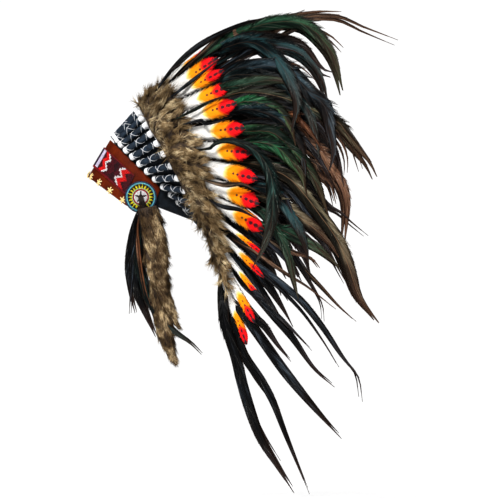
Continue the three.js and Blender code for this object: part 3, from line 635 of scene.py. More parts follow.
# Tones of the long feathers: black, blue, teal, green, emerald, olive, brown, rust. Their sheen is painted
# into the colour as lighter tones
def cock_vane(graph):
    lie = graph.attribute("lie")
    along, across, _ = graph.split(lie)
    tone = graph.attribute("tone", "Fac")
    seed = graph.math("MULTIPLY", tone, 70.0)
    lines = graph.group(BARB_LINES, {"Lie": lie, "Lines": 150.0, "Slant": 0.12, "Seed": seed})
    drift = graph.noise(graph.xyz(graph.math("MULTIPLY", along, 3.5), across, seed), 1.0, 2.0).outputs[0]
    body = graph.ramp(tone, [
        (0.0, "020203"), (0.15, "05080c"), (0.3, "050f12"), (0.45, "07150f"), (0.6, "0a2016"),
        (0.72, "17170f"), (0.85, "21150f"), (1.0, "4a2712")], "LINEAR")
    # Painted sheen: a lighter colour for each tone, mixed in where a noise pattern is strong, stands in for
    # the feathers' glossy shine
    painted_sheen = graph.ramp(tone, [
        (0.0, "30343a"), (0.15, "4a5b69"), (0.3, "2f565a"), (0.45, "385848"), (0.6, "2e7c50"),
        (0.72, "7c765e"), (0.85, "8e705c"), (1.0, "b06c40")], "LINEAR")
    sheen_pattern = graph.math("MULTIPLY_ADD", lines[1], 0.5, drift)
    painted_sheen_share = graph.math("MULTIPLY", graph.step(sheen_pattern, 0.68, 0.96), graph.step(along, 0.1, 0.35))
    colour = graph.blend(painted_sheen_share, body, painted_sheen)
    worn = graph.math("ADD", along, graph.math("MULTIPLY", drift, 0.5))
    rust = graph.math("MULTIPLY", graph.step(worn, 0.85, 1.3), graph.step(tone, 0.2, 0.8, 0.35, 0.8))
    colour = graph.blend(rust, colour, shade("5a3b2c"))
    rim = graph.math("ADD", graph.math("ABSOLUTE", across), graph.math("MULTIPLY", lines[1], 0.3))
    colour = graph.blend(graph.step(rim, 0.85, 1.2, 0.0, 0.6), colour, shade("3c281c"))
    colour = graph.blend(graph.step(lines[0], 0.35, 0.65, 0.6, 0.0), colour, (0.003, 0.003, 0.003, 1.0))
    # Painted highlight: thin pale grey streaks along the barbs where the sheen pattern is strongest
    streak = graph.math("MULTIPLY", graph.step(lines[0], 0.58, 0.78),
                        graph.step(sheen_pattern, 0.62, 0.9, 0.15, 0.62))
    colour = graph.blend(streak, colour, shade("a9a59b"))
    shaft = graph.step(graph.math("ABSOLUTE", across), 0.02, 0.07, 0.55, 0.0)
    colour = graph.blend(shaft, colour, graph.ramp(tone, [(0.0, "1c1c20"), (0.5, "4a3a2e"), (1.0, "a88260")]))
    return {"Base Color": colour, "Roughness": graph.math("MULTIPLY_ADD", lines[0], 0.3, 0.32),
            "Specular IOR Level": 0.07, "Normal": bumped(graph, lines[0], 0.5, 0.0006)}


def fur(dark, middle, light, patch=26.0):
    def build(graph):
        along, tone = graph.attribute("t", "Fac"), graph.attribute("tone", "Fac")
        colour = graph.group(FUR_COLOURS, {"Place": graph.place(), "Tone": tone, "Along": along,
                                           "Dark": shade(dark),
                                            "Middle": shade(middle), "Light": shade(light),
                                            "Patch": patch})[0]
        rough = graph.math("MULTIPLY_ADD", tone, 0.2, 0.5)
        return {"Base Color": colour, "Roughness": rough, "Specular IOR Level": 0.12}
    return build


def hide(graph):
    tone, height = grain(graph, 800.0, 60.0)
    return {"Base Color": graph.ramp(tone, [(0.3, "2a2018"), (0.7, "4c3b2b")]), "Roughness": 0.9,
            "Normal": bumped(graph, height, 0.6, 0.001)}


def suede(graph):
    tone, height = grain(graph, 1100.0, 80.0)
    return {"Base Color": graph.ramp(tone, [(0.3, "140f0c"), (0.7, "2a1f18")]), "Roughness": 0.9,
            "Normal": bumped(graph, height, 0.6, 0.0005)}


def studio_floor(graph):
    tone, height = grain(graph, 40.0, 2.0)
    return {"Base Color": graph.ramp(tone, [(0.3, "f4f4f4"), (0.7, "fafafa")]), "Roughness": 0.9,
            "Emission Color": (1.0, 1.0, 1.0, 1.0), "Emission Strength": 0.42,
            "Normal": bumped(graph, height, 0.02, 0.001)}


MAT = {name: finish_material(name, build) for name, build in {
    "brow_leather": leather, "black_felt": felt, "bead_backing": backing, "bead_glass": bead_glass,
    "wrapped_tube": wrapped_tube, "white_thread": thread(("dcdee2", "ffffff")),
    "yellow_thread": thread(("d9b866", "f8e6b0")), "painted_plume": painted_plume, "cock_vane": cock_vane,
    "rabbit_fur": fur("261b12", "8a7250", "efdcb4", 30.0),
    "drop_fur": fur("140d09", "5c4830", "d2ba92", 40.0),
    "dark_fur": fur("0d0a08", "2c2018", "5a452f"), "fur_hide": hide, "suede_tie": suede,
    "studio_floor": studio_floor}.items()}


# ---- Geometry trees ----

def named(graph, name, kind="FLOAT"):
    return graph.add("GeometryNodeInputNamedAttribute", {"Name": name}, data_type=kind).outputs["Attribute"]


def store(graph, geometry, name, value, kind="FLOAT", domain="POINT"):
    return graph.add("GeometryNodeStoreNamedAttribute", {"Geometry": geometry, "Name": name, "Value": value},
                     data_type=kind, domain=domain).outputs[0]


def chance(graph, low, high, seed, salt):
    seed = graph.math("ADD", seed, float(salt))
    return graph.add("FunctionNodeRandomValue", {2: low, 3: high, "Seed": seed}, data_type="FLOAT").outputs[1]


def scatter(graph, seed, salt):
    seed = graph.math("ADD", seed, float(salt))
    return graph.add("FunctionNodeRandomValue", {0: (-1.0, -1.0, -1.0), 1: (1.0, 1.0, 1.0), "Seed": seed},
                     data_type="FLOAT_VECTOR").outputs[0]


def blade(graph, segments, taper):
    """A unit ribbon along X with its share along it stored as t, narrowing to its tip."""
    grid_mesh = graph.add("GeometryNodeMeshGrid", {"Size X": 1.0, "Size Y": 1.0, "Vertices X": segments + 1,
                                                   "Vertices Y": 2})
    x, y, _ = graph.split(graph.add("GeometryNodeInputPosition").outputs[0])
    t = graph.math("ADD", x, 0.5)
    narrow = graph.math("SUBTRACT", 1.0, graph.math("MULTIPLY", graph.math("POWER", t, 1.6), taper))
    shaped = graph.add("GeometryNodeSetPosition", {
        "Geometry": grid_mesh.outputs["Mesh"],
        "Position": graph.xyz(t, graph.math("MULTIPLY", y, narrow),
                              graph.math("MULTIPLY", graph.math("MULTIPLY", t, t), -0.14))})
    again, _, _ = graph.split(graph.add("GeometryNodeInputPosition").outputs[0])
    return store(graph, shaped.outputs[0], "t", again)


def close_tree(graph, instances, material, sink, lie=None):
    real = graph.add("GeometryNodeRealizeInstances", {0: instances}).outputs[0]
    if lie:
        real = store(graph, real, "lie", lie(), "FLOAT_VECTOR")
    smooth = graph.add("GeometryNodeSetShadeSmooth", {0: real}).outputs[0]
    graph.plug(sink[0], graph.add("GeometryNodeSetMaterial",
                                  {"Geometry": smooth, "Material": material}).outputs[0])


GEOMETRY = {"Geometry": "geometry"}

# Barbs along the shafts of feathers, turn by turn to the left and right
g, at, to = new_tree("GeometryNodeTree", "Barbs on shafts", {
    **GEOMETRY, "Spacing": ("float", 0.0012), "Angle": ("float", 0.6), "Barb width": ("float", 0.0014),
    "Locks": ("float", 90.0), "Seed": ("int", 3), "Material": "material"}, GEOMETRY)
line = g.add("GeometryNodeMeshToCurve", {0: at["Geometry"]}).outputs[0]
resample = g.add("GeometryNodeResampleCurve", {"Curve": line, "Length": at["Spacing"]}, mode="LENGTH")
side = g.math("MULTIPLY_ADD", g.math("MODULO", g.add("GeometryNodeInputIndex").outputs[0], 2.0), 2.0, -1.0)
half, ragged = named(g, "half"), named(g, "ragged")
here = g.add("GeometryNodeInputPosition").outputs[0]
lock = g.noise(g.vector("ADD", here, g.xyz(side, 0.0, 0.0)), at["Locks"], 1.0).outputs[0]
loose = g.math("ADD", g.math("MULTIPLY", g.math("SUBTRACT", lock, 0.5), 2.0),
               g.math("MULTIPLY", chance(g, -1.0, 1.0, at["Seed"], 1), 0.3))
angle = g.math("MULTIPLY_ADD", g.math("MULTIPLY", loose, ragged), 0.5, at["Angle"])
tangent = g.add("GeometryNodeInputTangent").outputs[0]
way = g.vector("ADD", g.vector("SCALE", tangent, scale=g.math("COSINE", angle)),
               g.vector("SCALE", named(g, "across", "FLOAT_VECTOR"),
                        scale=g.math("MULTIPLY", g.math("SINE", angle), side)))
way = g.vector("ADD", way, g.vector("SCALE", named(g, "out", "FLOAT_VECTOR"),
                                    scale=g.math("MULTIPLY", chance(g, -0.5, 0.5, at["Seed"], 2), ragged)))
length = g.math("MULTIPLY", g.math("DIVIDE", half, g.math("SINE", angle)),
                g.math("MULTIPLY_ADD", chance(g, -0.55, 0.3, at["Seed"], 3), ragged, 1.0))
points = store(g, resample.outputs[0], "side", side)
points = store(g, points, "reach", g.math("DIVIDE", g.math("MULTIPLY", length, g.math("COSINE", angle)),
                                          named(g, "span")))
turn = g.add("FunctionNodeAxesToRotation", {0: way, 1: named(g, "out", "FLOAT_VECTOR")}, primary_axis="X",
             secondary_axis="Z")
instances = g.add("GeometryNodeInstanceOnPoints", {
    "Points": points, "Selection": g.add("FunctionNodeCompare", {0: half, 1: 0.0007}, data_type="FLOAT",
                                         operation="GREATER_THAN").outputs[0],
    "Instance": blade(g, 3, 0.85), "Rotation": turn.outputs[0],
    "Scale": g.xyz(length, at["Barb width"], length)})
close_tree(g, instances.outputs[0], at["Material"], to, lambda: g.xyz(
    g.math("MULTIPLY_ADD", named(g, "t"), named(g, "reach"), named(g, "share")),
    g.math("MULTIPLY", named(g, "t"), named(g, "side")), 0.0))
BARBS = g.tree

# Fur on a hide: thin curved hairs that follow the flow attribute, lift off and clump
g, at, to = new_tree("GeometryNodeTree", "Hair on hide", {
    **GEOMETRY, "Density": ("float", 300000.0), "Length": ("float", 0.02), "Width": ("float", 0.0009),
    "Lift": ("float", 0.5), "Stray": ("float", 0.25), "Clump": ("float", 0.6), "Tufts": ("float", 70.0),
    "Seed": ("int", 5), "Material": "material"}, GEOMETRY)
spread = g.add("GeometryNodeDistributePointsOnFaces",
               {"Mesh": at["Geometry"], "Density": at["Density"], "Seed": at["Seed"]},
               distribute_method="RANDOM")
normal = spread.outputs["Normal"]
spot = g.add("GeometryNodeInputPosition").outputs[0]
tuft = g.add("ShaderNodeTexVoronoi", {"Vector": spot, "Scale": at["Tufts"]})
inward = g.vector("SCALE", g.vector("SUBTRACT", tuft.outputs["Position"], spot),
                  scale=g.math("MULTIPLY", at["Tufts"], 1.6))
sway = g.vector("SUBTRACT", tuft.outputs["Color"], (0.5, 0.5, 0.5))
clump = g.vector("SCALE", g.vector("ADD", inward, sway), scale=at["Clump"])
stray = g.vector("SCALE", scatter(g, at["Seed"], 2), scale=at["Stray"])
way = g.vector("ADD", g.vector("ADD", named(g, "flow", "FLOAT_VECTOR"),
                               g.vector("SCALE", normal, scale=at["Lift"])),
               g.vector("ADD", clump, stray))
turn = g.add("FunctionNodeAxesToRotation", {0: way, 1: normal}, primary_axis="X", secondary_axis="Z")
length = g.math("MULTIPLY", at["Length"], chance(g, 0.55, 1.2, at["Seed"], 3))
tuft_tone = g.split(tuft.outputs["Color"])[0]
points = store(g, spread.outputs["Points"], "tone",
               g.math("ADD", g.math("MULTIPLY", chance(g, 0.0, 1.0, at["Seed"], 4), 0.6),
                      g.math("MULTIPLY", tuft_tone, 0.4)))
instances = g.add("GeometryNodeInstanceOnPoints", {
    "Points": points, "Instance": blade(g, 2, 0.9), "Rotation": turn.outputs[0],
    "Scale": g.xyz(length, at["Width"], g.math("MULTIPLY", length, 2.0))})
close_tree(g, instances.outputs[0], at["Material"], to)
HAIR = g.tree

# Seed beads on points, each strung along its thread
g, at, to = new_tree("GeometryNodeTree", "Seed beads", {
    **GEOMETRY, "Bead": ("float", 0.002), "Seed": ("int", 7), "Material": "material"}, GEOMETRY)
ball = g.add("GeometryNodeMeshUVSphere", {"Segments": 7, "Rings": 4, "Radius": 0.5}).outputs["Mesh"]
turn = g.add("FunctionNodeAxesToRotation", {0: named(g, "normal_way", "FLOAT_VECTOR"),
                                            1: named(g, "string", "FLOAT_VECTOR")},
             primary_axis="X", secondary_axis="Z")
size = g.math("MULTIPLY", at["Bead"], chance(g, 0.94, 1.05, at["Seed"], 1))
points = g.add("GeometryNodeMeshToPoints", {"Mesh": at["Geometry"]}).outputs[0]
instances = g.add("GeometryNodeInstanceOnPoints", {
    "Points": points, "Instance": ball, "Rotation": turn.outputs[0],
    "Scale": g.xyz(size, size, g.math("MULTIPLY", size, 0.86))})
close_tree(g, instances.outputs[0], at["Material"], to)
BEADS = g.tree

# Crossed threads wound round the tubes
g, at, to = new_tree("GeometryNodeTree", "Thread net", {
    **GEOMETRY, "Radius": ("float", 0.0063), "Height": ("float", 0.054), "Turns": ("float", 2.0),
    "Thread": ("float", 0.0005), "Material": "material"}, GEOMETRY)
strands = g.add("GeometryNodeJoinGeometry")
for reverse in (False, True):
    coil = g.add("GeometryNodeCurveSpiral", {"Resolution": 24, "Rotations": at["Turns"],
                                             "Start Radius": at["Radius"],
                                             "End Radius": at["Radius"], "Height": at["Height"],
                                             "Reverse": reverse})
    g.tree.links.new(coil.outputs[0], strands.inputs[0])
profile = g.add("GeometryNodeCurvePrimitiveCircle", {"Resolution": 4, "Radius": at["Thread"]}).outputs[0]
net = g.add("GeometryNodeCurveToMesh", {"Curve": strands.outputs[0], "Profile Curve": profile,
                                        "Fill Caps": True}).outputs[0]
turn = g.add("FunctionNodeAxesToRotation", {0: named(g, "axis", "FLOAT_VECTOR"),
                                            1: named(g, "out", "FLOAT_VECTOR")},
             primary_axis="Z", secondary_axis="X")
points = g.add("GeometryNodeMeshToPoints", {"Mesh": at["Geometry"]}).outputs[0]
instances = g.add("GeometryNodeInstanceOnPoints", {"Points": points, "Instance": net,
                                                   "Rotation": turn.outputs[0]})
close_tree(g, instances.outputs[0], at["Material"], to)
THREAD_NET = g.tree

# Cross stitches: two sewn threads over each other at each point
g, at, to = new_tree("GeometryNodeTree", "Cross stitches", {
    **GEOMETRY, "Size": ("float", 0.0135), "Thread": ("float", 0.0012), "Material": "material"}, GEOMETRY)
legs = g.add("GeometryNodeJoinGeometry")
for leg in (-0.25, 0.85, 1.9):
    start = (-0.5 * math.cos(leg), -0.5 * math.sin(leg), 0.0)
    end = (0.5 * math.cos(leg), 0.5 * math.sin(leg), 0.0)
    arch = g.add("GeometryNodeCurveQuadraticBezier",
                 {"Resolution": 8, "Start": start, "Middle": (0.0, 0.0, 0.28 + leg * 0.03),
                                                      "End": end})
    g.tree.links.new(arch.outputs[0], legs.inputs[0])
sized = g.add("GeometryNodeTransform", {"Geometry": legs.outputs[0],
                                        "Scale": g.xyz(at["Size"], at["Size"], at["Size"])})
profile = g.add("GeometryNodeCurvePrimitiveCircle", {"Resolution": 7, "Radius": at["Thread"]}).outputs[0]
cross = g.add("GeometryNodeCurveToMesh", {"Curve": sized.outputs[0], "Profile Curve": profile,
                                          "Fill Caps": True}).outputs[0]
turn = g.add("FunctionNodeAxesToRotation", {0: named(g, "normal_way", "FLOAT_VECTOR"),
                                            1: named(g, "string", "FLOAT_VECTOR")},
             primary_axis="Z", secondary_axis="X")
points = g.add("GeometryNodeMeshToPoints", {"Mesh": at["Geometry"]}).outputs[0]
instances = g.add("GeometryNodeInstanceOnPoints", {"Points": points, "Instance": cross,
                                                   "Rotation": turn.outputs[0]})
close_tree(g, instances.outputs[0], at["Material"], to)
STITCHES = g.tree


def grow(obj, tree, **values):
    """Runs a geometry tree on an object and keeps the result as its plain mesh."""
    layer = obj.modifiers.new(tree.name, "NODES")
    layer.node_group = tree
    for socket in tree.interface.items_tree:
        key = socket.name.lower().replace(" ", "_")
        if socket.in_out == "INPUT" and key in values:
            layer[socket.identifier] = values[key]
    graph = bpy.context.evaluated_depsgraph_get()
    mesh = bpy.data.meshes.new_from_object(obj.evaluated_get(graph), preserve_all_data_layers=True,
                                           depsgraph=graph)
    obj.modifiers.remove(layer)
    old = obj.data
    obj.data = mesh
    bpy.data.meshes.remove(old)
    mesh.name = obj.name
    return obj


# ---- Brow, panel and cap ----

RING_FINE = 1.5
EDGE_ROUND = 0.9


def stand_off(angle, height):
    """How far the brow's wall stands off at a height. At the front it leans out to the tubes' feet."""
    front = np.maximum(0, np.cos(np.radians(angle)))
    share = (height - brow_bottom(angle)) / (brow_top(angle) - brow_bottom(angle))
    return CLOTH + LAYER_GAP + BROW_FLARE * front * front * share


def band(name, end, inner, thick, bottom, top, material):
    """A wall on the brow with rounded edges, so far out from the brow's back."""
    edge = [(EDGE_ROUND, -0.5), (0.25, -0.35), (0, 0), (0.25, 0.35), (EDGE_ROUND, 0.5)]
    middle = (0.25, 0.5, 0.75)
    angles = np.arange(-end, end + 0.01, RING_FINE)
    rings = []
    for angle, low, high in zip(angles, bottom(angles), top(angles)):
        heights = [low + rise for rise, _ in edge] + [mix(low, high, share) for share in middle]
        heights += [high - rise for rise, _ in reversed(edge)]
        outs = [out for _, out in edge] + [0.5] * len(middle) + [-out for _, out in edge]
        heights, outs = np.array(heights), np.array(outs)
        rings.append(wall_point(angle, heights, stand_off(angle, heights) + inner + thick * (0.5 + outs)))
    verts = np.concatenate(rings)
    return piece(name, verts, outward(verts, loft_faces(len(angles), len(rings[0]))), material)


on_head(band("brow_leather", BROW_END, 0, CLOTH, brow_bottom, brow_top, MAT["brow_leather"]),
        "brow_leather", "brow_band")


def panel_top(angle):
    return brow_top(angle) - PANEL_TOP_DROP


def panel_bottom(angle):
    return np.maximum(panel_top(angle) - PANEL_HEIGHT, brow_bottom(angle) + CLOTH)


PANEL_INNER = CLOTH + LAYER_GAP
on_head(band("bead_panel_backing", PANEL_END, PANEL_INNER, 1.2, panel_bottom, panel_top, MAT["bead_backing"]),
        "wine_beads", "bead_panel")

BEAD, BEAD_OUT = 2.0, 1.7
COLOURS = {name: shade(code) for name, code in {
    "wine": "5e0519", "dark": "2c0510", "red": "f21412", "white": "ffffff", "lilac": "e2d8ee",
    "purple": "2c1030",
    "border": "8a0a14", "steel": "17405f", "turquoise": "78d2e2", "yellow": "fff41e", "black": "060808",
    "pale": "b4eccc", "crimson": "b8121c", "cream": "f2e8c8"}.items()}


STRIP_START, STRIP_END, CHEVRON_BACK = 21, 32, 100
MOTIF_ROWS = 9


def panel_colour(arc, row, rows):
    """Woven pattern of one half, by distance from the middle of the brow and row from the top."""
    if row == 0 or row >= rows - 2:
        return "border"
    if arc < STRIP_START:
        return "purple"
    if arc < STRIP_END:
        return "lilac"
    for start, way, lag in ((STRIP_END + 5, 1, 2), (CHEVRON_BACK, -1, -2)):
        for half, first in enumerate((1, 1 + MOTIF_ROWS)):
            inside = row - first
            if not 0 <= inside < MOTIF_ROWS:
                continue
            far = (arc - start - lag * half) * way
            notch = abs(inside - (MOTIF_ROWS - 1) / 2) / (MOTIF_ROWS / 2)
            red_to = 6 + 9 * (1 - notch)
            if red_to - 9 <= far < red_to:
                return "red"
            if red_to <= far < red_to + 4 + 3 * (inside % 2):
                return "white"
    diamond = abs(((arc - 62) / 11) % 2 - 1) + abs(row / rows * 2 % 1 - 0.5)
    return "dark" if diamond < 0.55 or rng.random() < 0.12 else "wine"


def bead_mesh(name, points, normals, strings, colours, size, slot, *nodes):
    obj = piece(name, points, [], None, normal_way=normals, string=strings,
                bead=[COLOURS[c] for c in colours])
    return on_head(grow(obj, BEADS, bead=size * MM, material=MAT["bead_glass"]), slot, *nodes)


panel_arc = float(np.interp(PANEL_END, arc_angles, arc_walked[:-1])) - 1
points, normals, strings, colours = [], [], [], []
for arc in np.arange(-panel_arc + BEAD / 2, panel_arc, BEAD):
    angle = math.copysign(float(np.interp(abs(arc), arc_walked[:-1], arc_angles)), arc)
    top, bottom = float(panel_top(angle)), float(panel_bottom(angle))
    rows = int((top - bottom) / BEAD)
    for row in range(rows):
        height = top - (row + 0.5) * (top - bottom) / rows
        here = wall_point(angle, height, stand_off(angle, height) + PANEL_INNER + BEAD_OUT)
        points.append(here)
        normals.append(here - wall_point(angle, height, 0))
        beyond = panel_top(angle + 1) - panel_top(angle) + height
        strings.append(wall_point(angle + 1, beyond,
                                  stand_off(angle + 1, beyond) + PANEL_INNER + BEAD_OUT) - here)
        colours.append(panel_colour(abs(arc), row, rows))
bead_mesh("bead_panel_beads", points, unit(np.array(normals)), unit(np.array(strings)), colours, BEAD,
          "wine_beads")

# Stitches along the brow's lower edge
STITCH_PITCH, STITCH_RISE, STITCH_LAST = 27, 4.6, 4
points, normals, strings = [], [], []
for arc in np.arange(-STITCH_LAST, STITCH_LAST + 1) * STITCH_PITCH:
    angle = math.copysign(float(np.interp(abs(arc), arc_walked[:-1], arc_angles)), arc)
    height = float(brow_bottom(angle)) + STITCH_RISE
    here = wall_point(angle, height, stand_off(angle, height) + CLOTH + 0.5)
    points.append(here)
    normals.append(here - wall_point(angle, height, 0))
    strings.append(wall_point(angle + 1, brow_bottom(angle + 1) + STITCH_RISE, 5) - here)
stitches = piece("brow_stitches", points, [], None, normal_way=unit(np.array(normals)),
                 string=unit(np.array(strings)))
on_head(grow(stitches, STITCHES, material=MAT["yellow_thread"]), "brow_leather")


def cap_section(angle, start, rise, out, height):
    foot = float(seat_height(angle))
    outer = start - out * (TUBE_RADIUS + GAP)
    inner = outer - out * CLOTH
    bottom = float(cap_bottom(angle))
    turn_at = foot - CLOTH * max(0, math.cos(math.radians(angle)))
    return np.array([
        wall_point(angle, bottom, 0.4), wall_point(angle, bottom - 0.35, CLOTH / 2),
        wall_point(angle, bottom, CLOTH - 0.4),
        wall_point(angle, bottom + 0.6, CLOTH), wall_point(angle, mix(bottom, foot, 0.5), CLOTH),
        wall_point(angle, min(turn_at, foot - 0.5), CLOTH), outer, outer + rise * height * 0.5,
        outer + rise * (height - 0.6),
        (outer + inner) / 2 + rise * height, inner + rise * (height - 0.6), inner + rise * height * 0.5,
        inner, wall_point(angle, foot - CLOTH, 0), wall_point(angle, mix(bottom, foot, 0.5), 0),
        wall_point(angle, bottom + 0.6, 0)])


FELT_HEIGHT, FELT_FALL = 68, 9.5


def cap_band():
    left = []
    for place in np.arange(0, TUBE_LAST, 0.25):
        angle = float(angle_at_arc(place * TUBE_PITCH))
        rise = heading(fan(place, TUBE_RISE), fan(place, TUBE_FLARE))
        height = mix(FELT_HEIGHT, CROWN_END_HEIGHT, float(smoothstep(place, FELT_FALL, TUBE_LAST)))
        left.append(cap_section(angle, seat(place), rise, row_frame(place, 0)[2], height))
    row_end = float(angle_at_arc(TUBE_LAST * TUBE_PITCH))
    spans = math.ceil((180 - row_end) / 3)
    up = np.array([0, math.sin(math.radians(RING_TILT)), math.cos(math.radians(RING_TILT))])
    for i in range(spans + 1):
        angle = mix(row_end, 180, i / spans)
        foot = float(seat_height(angle)) + CROWN_BACK_STEP
        start = wall_point(angle, foot, CLOTH + GAP + TUBE_RADIUS)
        left.append(cap_section(angle, start, up, unit(start - wall_point(angle, foot, 0)), CROWN_END_HEIGHT))
    right = [s * np.array([-1, 1, 1]) for s in reversed(left[1:-1])]
    sections = left + right
    verts = np.concatenate(sections)
    return piece("cap_felt", verts, outward(verts, loft_faces(len(sections), len(left[0]), loop=True)),
                 MAT["black_felt"])


on_head(cap_band(), "black_felt", "cap_band")


# ---- Tubes ----

def tubes():
    """Wrapped tubes on their axes. lie holds the distance along, the angle round and
    where the wrap is white."""
    profile = [(0, 0.4, 0), (5.2, 0, 0), (6.2, 0.25, 0), (6.4, 1.0, 0), (6.35, 1.6, 0), (6.6, 1.9, 1),
               (6.75, 3.4, 1), (6.7, 7.6, 1), (6.5, 9.6, 1), (6.3, 10, 0), (6.2, 10.6, 0)]
    profile += [(5.7 + 0.45 * abs(math.sin(math.pi * 3 * s)), mix(11.5, TUBE_LENGTH - 12.5, s), 0)
                for s in np.linspace(0, 1, 19)]
    profile += [(radius, TUBE_LENGTH + at, white) for radius, at, white in (
        (5.8, -11.5, 0), (6.1, -11, 0), (6.6, -10.6, 1), (6.8, -9, 1), (6.8, -3, 1), (6.6, -0.8, 1),
        (5.6, -0.2, 1), (0, -0.4, 1))]
    sides = 20
    pile = Pile()
    for place in range(-TUBE_LAST, TUBE_LAST + 1):
        sign = -1 if place < 0 else 1
        foot, _, out, _ = row_frame(place, 0)
        axis = heading(fan(place, TUBE_RISE), fan(place, TUBE_FLARE)) * np.array([sign, 1, 1])
        u = unit(out - axis * np.dot(out, axis))
        v = np.cross(axis, u)
        verts, lie = [], []
        for radius, height, white in profile[1:-1]:
            for k in range(sides):
                turn = 2 * math.pi * k / sides
                verts.append(foot + axis * height + (u * math.cos(turn) + v * math.sin(turn)) * radius)
                lie.append((height, turn, white))
        pile.add(verts, loft_faces(len(profile) - 2, sides), lie=np.array(lie))
    return pile.build("quill_tubes", MAT["wrapped_tube"])


tube_nodes = [f"quill_tube_{i:02d}" for i in range(1, 2 * TUBE_LAST + 2)]
on_head(tubes(), "wrapped_quill", *tube_nodes)

places = np.arange(-TUBE_LAST, TUBE_LAST + 1)
feet, _, outs, _ = row_frame(places, 0 * places)
axes = heading(fan(places, TUBE_RISE), fan(places, TUBE_FLARE))
axes[:, 0] *= np.sign(places)
net = piece("tube_threads", feet + axes * TUBE_CAP, [], None, axis=axes, out=outs)
on_head(grow(net, THREAD_NET, material=MAT["white_thread"]), "wrapped_quill")


# ---- Feathers ----

VANE_COLUMNS = (-1, -0.55, -0.07, 0, 0.07, 0.55, 1)
BARB_LOOK = {"spacing": 0.0011, "angle": 0.34, "barb_width": 0.0017}
PLUME_BARBS = {"spacing": 0.0005, "angle": 0.72, "barb_width": 0.0015}


class Feathers:
    """Collects feathers as closed vanes and as shafts that barbs grow on."""

    def __init__(self):
        self.vanes = Pile()
        self.points, self.edges, self.values = [], [], {k: [] for k in ("across", "out", "half", "ragged",
                                                                        "share", "span", "tone")}

    def add(self, point, along, across, out, half, ragged, share, tone, span, camber=0.14, fill=0.9,
            body=0.35, lean=PLUME_BARBS["angle"]):
        count = len(point)
        ring, lie = [], []
        for side, columns in ((1, VANE_COLUMNS), (-1, VANE_COLUMNS[-2:0:-1])):
            for c in columns:
                shaft = 0.5 if abs(c) < 0.05 else 0.12 if abs(c) < 0.1 else 0
                thick = body * (1 - abs(c)) ** 0.5 * 0.5 + shaft
                thick = np.minimum(thick, 0.12 + half * 0.2)
                drop = camber * half * c * c
                ring.append(point + across * (half * fill * c)[:, None]
                            + out * (side * thick - drop)[:, None])
                lie.append(np.stack([share, np.full(count, c * fill), np.zeros(count)], -1))
        verts = np.stack(ring, 1).reshape(-1, 3)
        self.vanes.add(verts, loft_faces(count, len(ring)), lie=np.stack(lie, 1).reshape(-1, 3), tone=tone)
        start = sum(len(p) for p in self.points)
        tip_at = share + half / math.tan(lean) / span
        reach = np.minimum(half, mix(half, np.interp(tip_at, share, half), 0.8))
        self.points.append(point)
        self.edges += [(start + i, start + i + 1) for i in range(count - 1)]
        for key, value in (("across", across), ("out", out), ("half", reach * MM), ("ragged", ragged),
                           ("share", share),
                           ("span", np.full(count, span * MM)), ("tone", np.full(count, tone))):
            self.values[key].append(value)

    def build(self, name, material, slot, nodes, **barbs):
        on_head(self.vanes.build(f"{name}_vanes", material), slot, *nodes)
        shafts = piece(f"{name}_barbs", np.concatenate(self.points), [], None, edges=self.edges,
                       **{k: np.concatenate(v) for k, v in self.values.items()})
        on_head(grow(shafts, BARBS, material=material, **barbs), slot)


def turned_frame(along, across, out, twist):
    c, s = np.cos(twist)[:, None], np.sin(twist)[:, None]
    return across * c + out * s, out * c - across * s


PLUME_SHAPE = np.array([
    (0, 0), (0.1, 0.02), (0.2, 0.1), (0.3, 0.5), (0.42, 0.78), (0.55, 0.92),
    (0.66, 1), (0.8, 1.0), (0.88, 0.93), (0.94, 0.74), (0.975, 0.5), (1, 0.08),
])


# Breadth of a plume by place: some lie edge on
PLUME_BREADTHS = np.array([
    (0, 0.9), (1, 0.95), (2, 0.7), (3, 0.95), (4, 1.05), (9, 1),
    (10, 0.32), (11, 0.5), (12, 0.28), (13, 0.5), (14, 0.5),
])


# Turn of a plume towards the side by place, degrees
PLUME_TURNS = np.array([(0, -64), (1, -50), (2, -38), (3, -24), (4, -14), (6, 0), (14, 0)])


def plume_set(name, plume_places, nodes, slot="painted_plume"):
    feathers = Feathers()
    for place in plume_places:
        share = np.concatenate([np.linspace(0, 0.9, 19), [0.93, 0.955, 0.975, 0.99, 1.0]])
        point, along, out, across = row_frame(np.full(len(share), float(place)),
                                              TUBE_LENGTH + GAP + share * PLUME_LENGTH)
        broad = np.interp(share, PLUME_SHAPE[:, 0], PLUME_SHAPE[:, 1])
        narrow = np.interp(abs(place), PLUME_BREADTHS[:, 0], PLUME_BREADTHS[:, 1])
        half = mix(QUILL_WIDTH, PLUME_WIDTH * narrow, broad) / 2
        side = 1 if place >= 0 else -1
        turn_out = np.interp(abs(place), PLUME_TURNS[:, 0], PLUME_TURNS[:, 1])
        twist = side * math.radians(turn_out) * smoothstep(share, 0.05, 0.45)
        twist = twist + math.radians(rng.uniform(-6, 6))
        across, out = turned_frame(along, across, out, twist)
        ragged = mix(0.85, 0.28, smoothstep(share, 0.3, 0.62))
        feathers.add(point, along, across, out, half, ragged, share, rng.random(), PLUME_LENGTH, fill=0.86)
    feathers.build(name, MAT["painted_plume"], slot, nodes, seed=11, **PLUME_BARBS)


plume_set("plumes", range(1 - TUBE_LAST, TUBE_LAST), [f"plume_{i:02d}" for i in range(1, 2 * TUBE_LAST)])
plume_set("trail_plumes", [-14, -13, -12, 12, 13, 14], ["trail_plumes_left", "trail_plumes_right"])


def blade_shape(share, taper, opening):
    body = 0.07 + 0.93 * smoothstep(share, *opening)
    return body * (1 - smoothstep(share, taper, 1.03)) ** 0.75 + 0.012


